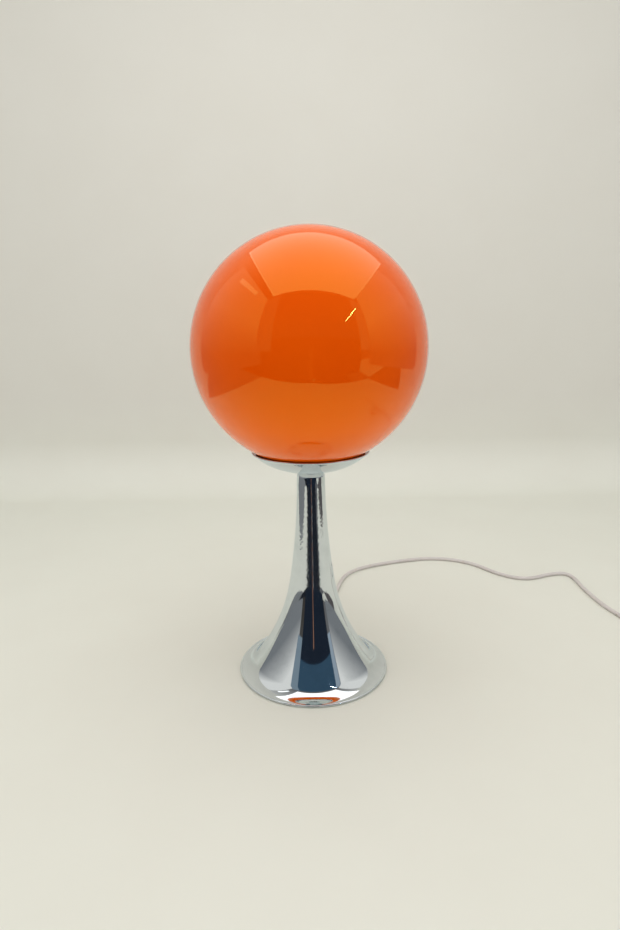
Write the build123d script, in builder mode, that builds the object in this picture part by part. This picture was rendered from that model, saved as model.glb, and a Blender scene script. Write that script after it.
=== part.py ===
from build123d import *
import math
import os

# Glass globe table lamp. Millimetres, +Z up; the origin is on the table, at the middle of the foot.
# An opal glass ball rests in a chromed dish on a chromed trumpet. A hollow rod holds dish, stem and
# foot together and carries the cord up to the lampholder. The cord leaves the back of the foot.

# ---------------------------------------------------------------- driving dimensions
globe_radius = 125.0
globe_wall = 2.4
mouth_radius = 42.0          # outside of the short neck at the ball's mouth
mouth_edge_round = 0.9
mouth_root_round = 1.5

base_radius = 87.25          # outside of the rolled lip
stem_radius = 15.55          # just under the shoulder
stem_tip_radius = 10.0       # flat ring that carries the dish
dish_seat_z = 240.8          # top of the stem
tip_cone_height = 5.7        # from the shoulder up to the ring
shoulder_round = 2.5
collar_length = 12.0         # the stem's straight taper, under the shoulder
stem_slope = 1.2             # slopes are degrees from straight down
flare_slope = 9.0
skirt_slope = 38.0
lip_slope = 79.5
skirt_arc = 27.9             # radius of the lowest arc
shell_wall = 1.0
lip_bead = 1.25              # radius of the rolled lip
lip_tuck_in, lip_tuck_up = 0.6, 0.5   # where the skirt ends, from the bead's middle
hem_width = 10.0             # the lip's edge, folded flat under the base plate

dish_flat_radius = 12.0
dish_sweep = 76.5            # radius of the dish's hollow
dish_wall = 1.0
dish_bead_middle = 64.4      # radius at which the rim's bead runs
dish_bead = 0.9
rim_gap = 1.3                # air between the ball and the rim

pan_wall = 0.8
pan_clearance = 0.8          # between pan and mouth
pan_stands_in_mouth = 4.5
pan_web_lift = 1.2           # pan above the dish, at its corner
pan_vent_radius = 3.5
pan_vents = 6
seat_inner_radius = 50.0
seat_width = 9.0
seat_gap = 0.3               # ball to rubber
mouth_lift = 1.4             # mouth above the dish's inside

felt_thickness = 1.6
plate_thickness = 1.0
plate_edge_gap = 0.4
felt_gap = 0.5
weight_height = 25.0
weight_gap = 0.5
weight_edge = 1.0
cavity_radius = 26.0
bridge_overlap = 10.0        # how far the bridge reaches over the cavity's edge
bridge_thickness = 5.0
bridge_edge = 0.6
bridge_screws_count = 3

rod_radius = 4.9
rod_bore = 3.6
rod_in_cap = 10.0
rod_edge = 0.5
thread_clearance = 0.05
nut_across = 14.0
nut_height = 5.0
washer_radius = 10.5
washer_thickness = 1.2
bush_height = 13.0
bush_gap = 0.1
bush_edge = 0.3

cord_radius = 2.7
cord_gap = 0.05
cord_azimuth = 80.0          # degrees from +X: the back of the foot, a little to the right
cord_exit_z = 10.7
cord_rod_lead = 0.4          # straight cord between its bend and the rod
sheath_above_rod = 3.0
core_radius = 1.0
core_spread = 1.25           # half the distance between the two cores

grommet_body = 4.1
grommet_hole_gap = 0.05
grommet_collar = 5.2
grommet_inside = 8.0         # how far it reaches inside the wall
grommet_stand = 1.0          # how far its collar stands off the wall
sleeve_length = 26.0
sleeve_base_radius, sleeve_tip_radius = 4.2, 3.5
sleeve_grooves = 4
groove_width = 1.4
groove_depth = 0.5

clamp_distance = 45.0        # middle of the cord clamp, from the axis
clamp_length, clamp_width, clamp_thickness = 9.0, 30.0, 2.4
clamp_corner = 2.0
clamp_room = 0.5             # round the clamp in its recess
clamp_screw_offset = 10.5
slot_width = 7.0
slot_mouth_width = 13.0
slot_mouth_ahead = 2.0       # the slot widens this far before the strain relief
screw_radius = 2.0
screw_clearance = 0.2
screw_end_gap = 1.0
screw_head_radius = 3.5
screw_head_height = 2.0
screw_slot = 0.8
clamp_screw_grip = 10.0
bridge_screw_grip = 12.0

# Lampholder, size E27
holder_radius = 19.8
holder_wall = 2.0
boss_radius = 7.5
boss_length = 3.2
cap_floor = 10.0
cap_height = 27.2
cap_cone_height = 9.0
cap_shoulder_round = 3.0
cap_inside_bevel = 3.0
insert_clearance = 0.4
insert_depth_in_cap = 10.0
insert_above_cap = 1.0
insert_edge = 0.6
skirt_height = 27.0
skirt_mouth = 15.0
skirt_rim_round = 1.5
thread_pitch = 3.6
thread_depth = 0.55
shell_crest = 13.4           # inside of the screw shell
screw_shell_wall = 0.4
screw_shell_turns = 6
terminal_width, terminal_depth, terminal_height = 6.0, 7.0, 5.0
terminal_room = 0.3          # round each terminal in its pocket
terminal_sink = 1.0
terminal_offset = 9.0
terminal_screw_radius = 1.5
terminal_screw_head = 2.6
terminal_head_height = 1.6
tongue_width = 5.0
tongue_thickness = 0.5
tongue_root, tongue_bend, tongue_crest, tongue_tip = -9.0, -3.0, 1.0, 4.0
tongue_height = 3.4          # insert to bulb
core_straight = 1.5
core_under_insert = 2.4
core_past_terminal = 2.2
core_bend = 0.8

# Bulb, size E27, 60 mm
bulb_radius = 30.0
bulb_length = 105.0
bulb_wall = 0.9
bulb_neck = 12.0
bulb_throat_arc = 30.0
bulb_cap_crest = 13.1
bulb_cap_wall = 0.35
bulb_cap_turns = 5
bulb_cap_base = 5.4          # contact and insulator, below the cap
bulb_contact_radius = 4.8
bulb_contact_height = 1.2
bulb_contact_round = 0.9
bulb_gap = 0.1
bulb_neck_in_cap = 6.0
bulb_rim_width, bulb_rim_thickness = 1.0, 0.4
insulator_step = 0.8
insulator_gap = 0.6
mount_height = 16.0          # glass mount, above the throat
mount_foot_height, mount_flare_height = 1.0, 9.0
mount_radius, mount_top_radius = 4.5, 3.6
press_height, press_radius = 3.0, 2.0
filament_radius = 0.35
filament_span = 12.0
filament_rise, filament_sag = 20.0, 3.0
filament_lead, filament_lead_rise, filament_held = 1.6, 3.0, 2.0
filament_bend = 1.0

# Switch on the cord
switch_x, switch_y = 431.0, -11.0
switch_width, switch_length, switch_height = 26.0, 62.0, 16.0
switch_split_z = 6.0         # also the height of the cord in it
switch_wall = 1.8
switch_corner = 9.0
switch_top_round = 3.5
switch_bottom_round = 1.2
rocker_width, rocker_half_length = 12.2, 11.4
rocker_gap = 0.4
rocker_window_half = 12.6
rocker_end_height, rocker_dip_height, rocker_depth = 5.4, 4.2, 3.5
rocker_foot_half = 9.6
rocker_tilt = 7.0            # either way; at rest it is tipped to its off side
pivot_z = 12.0
pivot_radius = 1.0
pivot_clearance = 0.05
pivot_half_length = 8.5
ear_thickness = 2.2
ear_half_length = 3.0
ear_below_pin = 2.0
switch_post_across, switch_post_along = 8.2, 20.0
switch_post_radius = 3.4
switch_screw_radius = 1.5
switch_screw_head = 2.75
switch_head_height = 1.7
switch_head_lift = 0.5
switch_screw_length = 11.0
switch_screw_end_gap = 0.5
switch_stub = 11.0
lead_radius = 0.9
lead_offset = 1.2
strip_width, strip_foot, strip_thickness = 4.0, 5.0, 0.6
contact_place = 5.0
contact_top_z = 6.9

# Plug, flat two-pin type
plug_x, plug_front_y = 441.0, -263.0
plug_width, plug_thickness, plug_length = 35.3, 13.7, 33.0
plug_shoulder = 12.0
plug_rear_width = 13.0
plug_round = 2.5
pin_spacing = 19.0
pin_radius, pin_core_radius = 2.0, 1.5
pin_length, pin_sleeve_length = 19.0, 10.0
pin_round = 1.0
pin_sleeve_radius = 1.95
pin_embedded = 8.0
moulding_gap = 0.02
boot_length = 22.0
boot_base_radius, boot_tip_radius = 5.2, 3.7
boot_grooves = 4
boot_groove_half, boot_groove_depth = 0.8, 0.6

# Put-away coil and its tie
coil_turns = 4.0
coil_stops = 4                # places in a turn where one pair of arcs gives way to the next
coil_climb = 0.5             # turns taken to climb from the lower layer to the upper one
coil_pitch = 6.0
coil_layer = 6.0
coil_inner_radius = 26.0
tie_thickness = 0.5
tie_width = 9.0
tie_gap = 0.3
tie_corner = 4.0

# The cord on the table, from the foot's strain relief to the switch, after its first two points.
cord_on_table = [
    (31.0, 158.0, 4.0), (37.0, 206.0, 2.7), (53.0, 260.0, 2.7), (85.0, 289.0, 2.7),
    (151.0, 314.0, 2.7), (211.0, 325.0, 2.7), (265.0, 303.0, 2.7), (299.0, 249.0, 2.7),
    (335.0, 230.0, 2.7), (374.0, 248.0, 2.7), (402.0, 256.0, 2.7), (418.0, 231.0, 2.7),
    (405.0, 198.0, 2.7), (411.0, 142.0, 2.7), (421.0, 104.0, 2.7), (428.0, 71.0, 3.0),
    (431.0, 44.0, 6.0), (431.0, 20.0, 6.0),
]
cord_switch_to_coil = [
    (431.0, -42.0, 6.0), (431.0, -60.0, 6.0), (433.0, -82.0, 3.2), (433.0, -100.0, 3.2),
]
cord_coil_to_plug = [
    (433.0, -110.8, 9.2), (433.0, -127.0, 9.2), (436.0, -149.0, 3.0),
    (439.0, -171.0, 2.9), (441.0, -192.0, 6.85), (441.0, -208.0, 6.85),
]
cord_straight_out = 24.0
cord_corner_share = 0.45     # of the shorter run, taken by a corner's arc
gap_samples, gap_skipped = 700, 60.0

os.makedirs("parts", exist_ok=True)


def finish(piece, node):
    """Label a finished piece with its node's name and write it."""
    piece.part.label = node
    export_step(piece.part, f"parts/{node}.step")


# ---------------------------------------------------------------- heights that follow
hem_z = felt_thickness - shell_wall
plate_z = felt_thickness
weight_z = plate_z + plate_thickness
bridge_z = weight_z + weight_height
bridge_radius = cavity_radius + bridge_overlap
bridge_screw_circle = cavity_radius + bridge_overlap / 2
shoulder_z = dish_seat_z - tip_cone_height
bead_x, bead_z = base_radius - lip_bead, hem_z + lip_bead
skirt_end = (bead_x - lip_tuck_in, bead_z + lip_tuck_up)

dish_floor_z = dish_seat_z + dish_wall
pan_floor_z = dish_floor_z + pan_wall
gallery_nut_z = pan_floor_z + washer_thickness
holder_z = gallery_nut_z + nut_height
rod_top_z = holder_z + rod_in_cap

# ---------------------------------------------------------------- the trumpet's outline


def across(start, end):
    """How far an arc of radius 1 goes outwards between two slopes."""
    return math.cos(math.radians(start)) - math.cos(math.radians(end))


def down(start, end):
    """How far an arc of radius 1 goes down between two slopes."""
    return math.sin(math.radians(end)) - math.sin(math.radians(start))


def long_arcs():
    """Radii of the stem's arc and the flare's arc that end the outline at the lip."""
    reach = (
        skirt_end[0] - stem_radius - collar_length * math.sin(math.radians(stem_slope))
        - skirt_arc * across(skirt_slope, lip_slope)
    )
    fall = (
        shoulder_z - skirt_end[1] - collar_length * math.cos(math.radians(stem_slope))
        - skirt_arc * down(skirt_slope, lip_slope)
    )
    a1, a2 = across(stem_slope, flare_slope), across(flare_slope, skirt_slope)
    d1, d2 = down(stem_slope, flare_slope), down(flare_slope, skirt_slope)
    spread = a1 * d2 - a2 * d1
    return (reach * d2 - a2 * fall) / spread, (a1 * fall - reach * d1) / spread


def normal(slope):
    """Unit direction from the outline at this slope towards its arc's centre, outwards and up."""
    return math.cos(math.radians(slope)), math.sin(math.radians(slope))


def shifted(point, slope, distance):
    """The point moved along the outline's normal at this slope."""
    return point[0] + distance * normal(slope)[0], point[1] + distance * normal(slope)[1]


stem_arc, flare_arc = long_arcs()
print("trumpet: stem arc", round(stem_arc, 1), "flare arc", round(flare_arc, 1))
collar_end = (
    stem_radius + collar_length * math.sin(math.radians(stem_slope)),
    shoulder_z - collar_length * math.cos(math.radians(stem_slope)),
)
trumpet_arcs = []            # centre, radius, slope at its start and at its end
point = collar_end
for radius, start, end in (
    (stem_arc, stem_slope, flare_slope),
    (flare_arc, flare_slope, skirt_slope),
    (skirt_arc, skirt_slope, lip_slope),
):
    centre = shifted(point, start, radius)
    point = shifted(centre, end, -radius)
    trumpet_arcs.append((centre, radius, start, end))


def outline_radius(height, inset=0.0):
    """Radius of the trumpet's wall at a height, below the collar; inset goes into the wall."""
    for centre, radius, _, end in trumpet_arcs:
        if height >= shifted(centre, end, -radius - inset)[1]:
            break
    return centre[0] - math.sqrt((radius + inset) ** 2 - (centre[1] - height) ** 2)


def inset_corner(before, corner, after, inset):
    """The corner of a line with three points, moved to its right-hand side by the inset."""
    first = Vector(corner[0] - before[0], corner[1] - before[1]).normalized()
    second = Vector(after[0] - corner[0], after[1] - corner[1]).normalized()
    sides = Vector(first.Y, -first.X) + Vector(second.Y, -second.X)
    share = inset / (1 + first.dot(second))
    return corner[0] + sides.X * share, corner[1] + sides.Y * share


stem_top = [
    (rod_radius + thread_clearance, dish_seat_z), (stem_tip_radius, dish_seat_z),
    (stem_radius, shoulder_z), collar_end,
]


def inside_stem_top(inset):
    """The stem's top seen from inside the wall: bore, tip corner, shoulder, collar's end."""
    return [
        (stem_top[0][0], dish_seat_z - inset),
        inset_corner(*stem_top[0:3], inset),
        inset_corner(*stem_top[1:4], inset),
        shifted(collar_end, stem_slope, -inset),
    ]


# The cord's way out of the foot: a line level with the table, from the axis to the back.
exit_x, exit_y = math.cos(math.radians(cord_azimuth)), math.sin(math.radians(cord_azimuth))
exit_side = Plane(origin=(0, 0, 0), x_dir=(exit_x, exit_y, 0), z_dir=(exit_y, -exit_x, 0))


def exit_floor(height):
    """A level plane whose X runs along the cord's way out."""
    return Plane(origin=(0, 0, height), x_dir=(exit_x, exit_y, 0), z_dir=(0, 0, 1))


def exit_face(distance):
    """An upright plane across the cord's way out, this far from the axis; its Y is up."""
    return Plane(
        origin=(exit_x * distance, exit_y * distance, cord_exit_z),
        x_dir=(-exit_y, exit_x, 0), z_dir=(exit_x, exit_y, 0),
    )


exit_line = Axis((0, 0, cord_exit_z), (exit_x, exit_y, 0))
wall_distance = outline_radius(cord_exit_z)
collar_distance = outline_radius(cord_exit_z - grommet_collar) + grommet_stand
sleeve_end = collar_distance + sleeve_length

# ---------------------------------------------------------------- trumpet
with BuildPart() as trumpet_shell:
    with BuildSketch(Plane.XZ) as trumpet_section:
        inside = inside_stem_top(shell_wall)
        with BuildLine():
            Polyline(*stem_top)
            Polyline(*inside)
            Line(stem_top[0], inside[0])
            for centre, radius, start, end in trumpet_arcs:
                CenterArc(centre, radius, 180 + start, end - start)
                CenterArc(centre, radius + shell_wall, 180 + start, end - start)
            Line(
                shifted(centre, end, -radius),
                shifted(centre, end, -radius - shell_wall),
            )
        make_face()
        corners = trumpet_section.vertices()
        for corner, round_by in ((stem_top[2], shoulder_round), (inside[2], shoulder_round - shell_wall)):
            fillet(corners.sort_by_distance((corner[0], corner[1], 0))[0], round_by)
        with Locations((bead_x, bead_z)):
            Circle(lip_bead)
        with Locations((bead_x - hem_width, hem_z)):
            Rectangle(hem_width, shell_wall, align=(Align.MIN, Align.MIN))
    revolve(axis=Axis.Z)
    with BuildSketch(exit_face(cavity_radius)):
        Circle(grommet_body + grommet_hole_gap)
    extrude(amount=base_radius - cavity_radius, mode=Mode.SUBTRACT)
finish(trumpet_shell, "trumpet_shell")

with BuildPart() as stem_bush:
    with BuildSketch(Plane.XZ):
        with BuildLine():
            bush_top = inside_stem_top(shell_wall + bush_gap)
            contact_z = dish_seat_z - shell_wall
            Polyline(
                (stem_top[0][0], contact_z - bush_height), (bush_top[2][0], contact_z - bush_height),
                bush_top[2], bush_top[1], (bush_top[1][0], contact_z), (stem_top[0][0], contact_z),
                close=True,
            )
        make_face()
    revolve(axis=Axis.Z)
    chamfer(stem_bush.edges().filter_by(GeomType.CIRCLE).sort_by(Axis.Z)[:1], bush_edge)
finish(stem_bush, "stem_bush")

# ---------------------------------------------------------------- foot
plate_radius = outline_radius(weight_z, shell_wall) - plate_edge_gap
felt_radius = bead_x - hem_width - felt_gap
skirt_joint = shifted(trumpet_arcs[2][0], skirt_slope, -skirt_arc - shell_wall - weight_gap)


def weight_flank(height):
    """Radius of the weight's side, which touches the gap inside the shell where its skirt begins."""
    return skirt_joint[0] - (height - skirt_joint[1]) * math.tan(math.radians(skirt_slope))


with BuildPart() as felt_pad:
    with BuildSketch():
        Circle(felt_radius)
    extrude(amount=felt_thickness)
finish(felt_pad, "felt_pad")

with BuildPart() as base_plate:
    with BuildSketch(Plane.XY.offset(plate_z)):
        Circle(plate_radius)
    extrude(amount=plate_thickness)
finish(base_plate, "base_plate")

clamp_roof_z = cord_exit_z - cord_radius
slot_reach = base_radius
with BuildPart() as base_weight:
    with BuildSketch(Plane.XZ):
        with BuildLine():
            Polyline(
                (cavity_radius, weight_z), (weight_flank(weight_z), weight_z),
                (weight_flank(bridge_z), bridge_z), (cavity_radius, bridge_z), close=True,
            )
        make_face()
    revolve(axis=Axis.Z)
    chamfer(base_weight.edges().filter_by(GeomType.CIRCLE).group_by(Axis.Z)[-1], weight_edge)
    with BuildSketch(exit_floor(weight_z)):
        Rectangle(slot_reach, slot_width, align=(Align.MIN, Align.CENTER))
    extrude(amount=cord_exit_z + cord_radius + cord_gap - weight_z, mode=Mode.SUBTRACT)
    with BuildSketch(exit_floor(weight_z)):
        with Locations((wall_distance - grommet_inside - slot_mouth_ahead, 0)):
            Rectangle(slot_reach, slot_mouth_width, align=(Align.MIN, Align.CENTER))
    extrude(amount=cord_exit_z + slot_mouth_width / 2 - weight_z, mode=Mode.SUBTRACT)
    with BuildSketch(exit_floor(weight_z)):
        with Locations((clamp_distance, 0)):
            Rectangle(clamp_length + 2 * clamp_room, clamp_width + 2 * clamp_room)
    extrude(amount=clamp_roof_z - weight_z, mode=Mode.SUBTRACT)
    with BuildSketch(exit_floor(clamp_roof_z)):
        with Locations((clamp_distance, clamp_screw_offset), (clamp_distance, -clamp_screw_offset)):
            Circle(screw_radius + thread_clearance)
    extrude(amount=clamp_screw_grip, mode=Mode.SUBTRACT)
    with BuildSketch(Plane.XY.offset(bridge_z)):
        with PolarLocations(bridge_screw_circle, bridge_screws_count):
            Circle(screw_radius + thread_clearance)
    extrude(amount=-bridge_screw_grip, mode=Mode.SUBTRACT)
finish(base_weight, "base_weight")

with BuildPart() as weight_bridge:
    with BuildSketch(Plane.XY.offset(bridge_z)):
        Circle(bridge_radius)
        Circle(rod_radius + thread_clearance, mode=Mode.SUBTRACT)
        with PolarLocations(bridge_screw_circle, bridge_screws_count):
            Circle(screw_radius + screw_clearance, mode=Mode.SUBTRACT)
    extrude(amount=bridge_thickness)
    chamfer(weight_bridge.faces().sort_by(Axis.Z)[-1].outer_wire().edges(), bridge_edge)
finish(weight_bridge, "weight_bridge")


def screws(node, middles, head_up, shank_radius, shank_length, head_radius, head_height):
    """Slotted screws. The middles lie under their heads; head_up is 1, or -1 for heads that look down."""
    edge = head_height / 2
    with BuildPart() as made:
        for middle in middles:
            with BuildSketch(Plane(origin=middle, x_dir=(1, 0, 0), z_dir=(0, -head_up, 0))):
                with BuildLine():
                    Polyline(
                        (0, head_height), (0, -shank_length), (shank_radius, -shank_length),
                        (shank_radius, 0), (head_radius, 0), (head_radius, edge),
                        (head_radius - edge, head_height), close=True,
                    )
                make_face()
            revolve(axis=Axis(middle, (0, 0, 1)))
            with Locations(middle + Vector(0, 0, head_up * head_height)):
                Box(2 * head_radius, screw_slot, head_height, mode=Mode.SUBTRACT)
    finish(made, node)


screws(
    "bridge_screws",
    [
        place.position + Vector(0, 0, bridge_z + bridge_thickness)
        for place in PolarLocations(bridge_screw_circle, bridge_screws_count)
    ],
    1, screw_radius, bridge_thickness + bridge_screw_grip - screw_end_gap,
    screw_head_radius, screw_head_height,
)

with BuildPart() as cord_clamp:
    with BuildSketch(exit_floor(clamp_roof_z)):
        with Locations((clamp_distance, 0)):
            RectangleRounded(clamp_length, clamp_width, clamp_corner)
            with Locations((0, clamp_screw_offset), (0, -clamp_screw_offset)):
                Circle(screw_radius + screw_clearance, mode=Mode.SUBTRACT)
    extrude(amount=-clamp_thickness)
finish(cord_clamp, "cord_clamp")

screws(
    "clamp_screws",
    [
        exit_floor(clamp_roof_z - clamp_thickness).from_local_coords(
            (clamp_distance, side * clamp_screw_offset, 0)
        )
        for side in (1, -1)
    ],
    -1, screw_radius, clamp_thickness + clamp_screw_grip - screw_end_gap,
    screw_head_radius, screw_head_height,
)

# ---------------------------------------------------------------- rod and nuts
with BuildPart() as center_rod:
    with BuildSketch(Plane.XY.offset(bridge_z)):
        Circle(rod_radius)
        Circle(rod_bore, mode=Mode.SUBTRACT)
    extrude(amount=rod_top_z - bridge_z)
    chamfer(center_rod.edges().filter_by(GeomType.CIRCLE).sort_by(SortBy.RADIUS)[-2:], rod_edge)
finish(center_rod, "center_rod")


def hex_nut(bottom_z, node):
    """A hexagon nut on the rod."""
    with BuildPart() as nut:
        with BuildSketch(Plane.XY.offset(bottom_z)):
            RegularPolygon(nut_across / 2, 6, major_radius=False)
            Circle(rod_radius + thread_clearance, mode=Mode.SUBTRACT)
        extrude(amount=nut_height)
    finish(nut, node)


hex_nut(bridge_z + bridge_thickness, "rod_locknut")
hex_nut(dish_seat_z - shell_wall - bush_height - nut_height, "stem_nut")
hex_nut(gallery_nut_z, "gallery_nut")

with BuildPart() as gallery_washer:
    with BuildSketch(Plane.XY.offset(pan_floor_z)):
        Circle(washer_radius)
        Circle(rod_radius + thread_clearance, mode=Mode.SUBTRACT)
    extrude(amount=washer_thickness)
finish(gallery_washer, "gallery_washer")

# ---------------------------------------------------------------- dish
dish_centre = (dish_flat_radius, dish_seat_z + dish_sweep)
dish_bead_angle = math.asin((dish_bead_middle - dish_flat_radius) / (dish_sweep - dish_wall / 2))
dish_bead_z = dish_centre[1] - (dish_sweep - dish_wall / 2) * math.cos(dish_bead_angle)


def dish_inside(distance):
    """Height of the dish's inside at a distance from the axis."""
    return dish_centre[1] - math.sqrt(
        (dish_sweep - dish_wall) ** 2 - (distance - dish_flat_radius) ** 2
    )


globe_z = dish_bead_z + math.sqrt(
    (globe_radius + rim_gap + dish_bead) ** 2 - dish_bead_middle**2
)
print("globe centre", round(globe_z, 2), "top", round(globe_z + globe_radius, 2),
      "rim", round(dish_bead_z + dish_bead, 2))

with BuildPart() as gallery_dish:
    with BuildSketch(Plane.XZ):
        with BuildLine():
            bore = rod_radius + thread_clearance
            sweep_degrees = math.degrees(dish_bead_angle)
            low = CenterArc(dish_centre, dish_sweep, -90, sweep_degrees)
            high = CenterArc(dish_centre, dish_sweep - dish_wall, -90, sweep_degrees)
            Polyline(low @ 0, (bore, dish_seat_z), (bore, dish_floor_z), high @ 0)
            Line(low @ 1, high @ 1)
        make_face()
        with Locations((dish_bead_middle, dish_bead_z)):
            Circle(dish_bead)
    revolve(axis=Axis.Z)
finish(gallery_dish, "gallery_dish")

mouth_end_z = dish_inside(mouth_radius) + mouth_lift
pan_radius = mouth_radius - globe_wall - pan_clearance
with BuildPart() as centring_pan:
    with BuildSketch(Plane.XZ):
        pan_corner_z = dish_inside(pan_radius) + pan_web_lift
        outer = [
            (bore, dish_floor_z), (dish_flat_radius, dish_floor_z), (pan_radius, pan_corner_z),
            (pan_radius, mouth_end_z + pan_stands_in_mouth),
        ]
        with BuildLine():
            Polyline(
                *outer, (pan_radius - pan_wall, outer[3][1]),
                inset_corner(*outer[1:4], -pan_wall), inset_corner(*outer[0:3], -pan_wall),
                (bore, pan_floor_z), close=True,
            )
        make_face()
    revolve(axis=Axis.Z)
    with BuildSketch(Plane.XY.offset(dish_floor_z)):
        with PolarLocations((dish_flat_radius + pan_radius) / 2, pan_vents):
            Circle(pan_vent_radius)
    extrude(amount=mouth_end_z - dish_floor_z, mode=Mode.SUBTRACT)
finish(centring_pan, "centring_pan")


def globe_arc(radius, inner, outer):
    """Points of an arc round the ball's middle, at three distances from the axis."""
    return [
        (x, globe_z - math.sqrt(radius**2 - x**2)) for x in (inner, (inner + outer) / 2, outer)
    ]


with BuildPart() as globe_seat_ring:
    with BuildSketch(Plane.XZ):
        seat_edge = seat_inner_radius + seat_width
        middle = seat_inner_radius + seat_width / 2
        under = [(x, dish_inside(x)) for x in (seat_inner_radius, middle, seat_edge)]
        over = globe_arc(globe_radius + seat_gap, seat_inner_radius, seat_edge)
        with BuildLine():
            ThreePointArc(*under)
            ThreePointArc(*over)
            Line(under[0], over[0])
            Line(under[2], over[2])
        make_face()
    revolve(axis=Axis.Z)
finish(globe_seat_ring, "globe_seat_ring")

# ---------------------------------------------------------------- ball
with BuildPart() as glass_globe:
    with BuildSketch(Plane.XZ) as globe_section:
        mouth_inside = mouth_radius - globe_wall
        meets = (mouth_radius, globe_z - math.sqrt(globe_radius**2 - mouth_radius**2))
        inner_radius = globe_radius - globe_wall
        meets_inside = (mouth_inside, globe_z - math.sqrt(inner_radius**2 - mouth_inside**2))
        with BuildLine():
            ThreePointArc((0, globe_z + globe_radius), (globe_radius, globe_z), meets)
            Polyline(meets, (mouth_radius, mouth_end_z), (mouth_inside, mouth_end_z), meets_inside)
            ThreePointArc(meets_inside, (inner_radius, globe_z), (0, globe_z + inner_radius))
            Line((0, globe_z + inner_radius), (0, globe_z + globe_radius))
        make_face()
        corners = globe_section.vertices()
        fillet(corners.group_by(Axis.Y)[0], mouth_edge_round)
        fillet(corners.sort_by_distance((meets[0], meets[1], 0))[0], mouth_root_round)
    revolve(axis=Axis.Z)
finish(glass_globe, "glass_globe")

# ---------------------------------------------------------------- lampholder
cap_top_z = holder_z + cap_height
insert_z = cap_top_z - insert_depth_in_cap
insert_top_z = cap_top_z + insert_above_cap
cap_shoulder_z = holder_z + boss_length + cap_cone_height
cap_inner = holder_radius - holder_wall
with BuildPart() as holder_cap:
    with BuildSketch(Plane.XZ) as cap_section:
        with BuildLine():
            Polyline(
                (bore, holder_z), (boss_radius, holder_z), (boss_radius, holder_z + boss_length),
                (holder_radius, cap_shoulder_z), (holder_radius, cap_top_z), (cap_inner, cap_top_z),
                (cap_inner, holder_z + cap_floor + cap_inside_bevel),
                (cap_inner - cap_inside_bevel, holder_z + cap_floor),
                (bore, holder_z + cap_floor), close=True,
            )
        make_face()
        shoulder = cap_section.vertices().sort_by_distance((holder_radius, cap_shoulder_z, 0))[0]
        fillet(shoulder, cap_shoulder_round)
    revolve(axis=Axis.Z)
finish(holder_cap, "holder_cap")

insert_radius = cap_inner - insert_clearance
with BuildPart() as holder_insert:
    with BuildSketch(Plane.XY.offset(insert_z)):
        Circle(insert_radius)
    extrude(amount=insert_top_z - insert_z)
    chamfer(holder_insert.faces().sort_by(Axis.Z)[-1].edges(), insert_edge)
    with BuildSketch(Plane.XY.offset(insert_z)):
        with Locations((terminal_offset, 0), (-terminal_offset, 0)):
            Rectangle(terminal_width + 2 * terminal_room, terminal_depth + 2 * terminal_room)
    extrude(amount=terminal_height + terminal_sink, mode=Mode.SUBTRACT)
finish(holder_insert, "holder_insert")

with BuildPart() as terminal_blocks:
    with BuildSketch(Plane.XY.offset(insert_z + terminal_sink)):
        with Locations((terminal_offset, 0), (-terminal_offset, 0)):
            Rectangle(terminal_width, terminal_depth)
            Circle(terminal_screw_radius + thread_clearance, mode=Mode.SUBTRACT)
    extrude(amount=terminal_height)
finish(terminal_blocks, "terminal_blocks")

screws(
    "terminal_screws",
    [Vector(side * terminal_offset, 0, insert_z + terminal_sink) for side in (1, -1)],
    -1, terminal_screw_radius, terminal_height - screw_end_gap, terminal_screw_head,
    terminal_head_height,
)

holder_top_z = cap_top_z + skirt_height
with BuildPart() as holder_skirt:
    with BuildSketch(Plane.XZ) as skirt_section:
        with BuildLine():
            Polyline(
                (cap_inner, cap_top_z), (holder_radius, cap_top_z), (holder_radius, holder_top_z),
                (skirt_mouth, holder_top_z), (skirt_mouth, holder_top_z - holder_wall),
                (cap_inner, holder_top_z - holder_wall), close=True,
            )
        make_face()
        rim = skirt_section.vertices().sort_by_distance((holder_radius, holder_top_z, 0))[0]
        fillet(rim, skirt_rim_round)
    revolve(axis=Axis.Z)
finish(holder_skirt, "holder_skirt")


def rounded_thread(crest, depth, bottom_z, turns, wall):
    """Half section of a rolled sleeve with ring ridges: outside and inside are the same wave."""
    steps = 4 * turns
    middle = crest - depth / 2

    def wave(offset):
        return [
            (middle + offset + depth / 2 * math.sin(math.pi / 2 * k), bottom_z + thread_pitch * k / 4)
            for k in range(steps + 1)
        ]

    with BuildLine() as half:
        outside, inside_wave = wave(0.0), wave(-wall)
        for side in (outside, inside_wave):
            for k in range(0, steps, 2):
                ThreePointArc(side[k], side[k + 1], side[k + 2])
        Line(outside[0], inside_wave[0])
        Line(outside[-1], inside_wave[-1])
    make_face(half.edges())


with BuildPart() as holder_screw_shell:
    with BuildSketch(Plane.XZ):
        rounded_thread(
            shell_crest + thread_depth + screw_shell_wall, thread_depth, insert_top_z,
            screw_shell_turns, screw_shell_wall,
        )
    revolve(axis=Axis.Z)
finish(holder_screw_shell, "holder_screw_shell")

bulb_tip_z = insert_top_z + tongue_height
with BuildPart() as holder_contact:
    with BuildSketch(Plane.XZ):
        with BuildLine():
            crest_z = bulb_tip_z - bulb_gap - tongue_thickness
            tongue = [
                (tongue_root, insert_top_z), (tongue_bend, insert_top_z),
                (tongue_crest, crest_z), (tongue_tip, crest_z),
            ]
            raised = [(x, z + tongue_thickness) for x, z in reversed(tongue)]
            Polyline(*tongue, *raised, close=True)
        make_face()
    extrude(amount=tongue_width / 2, both=True)
finish(holder_contact, "holder_contact")

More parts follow.
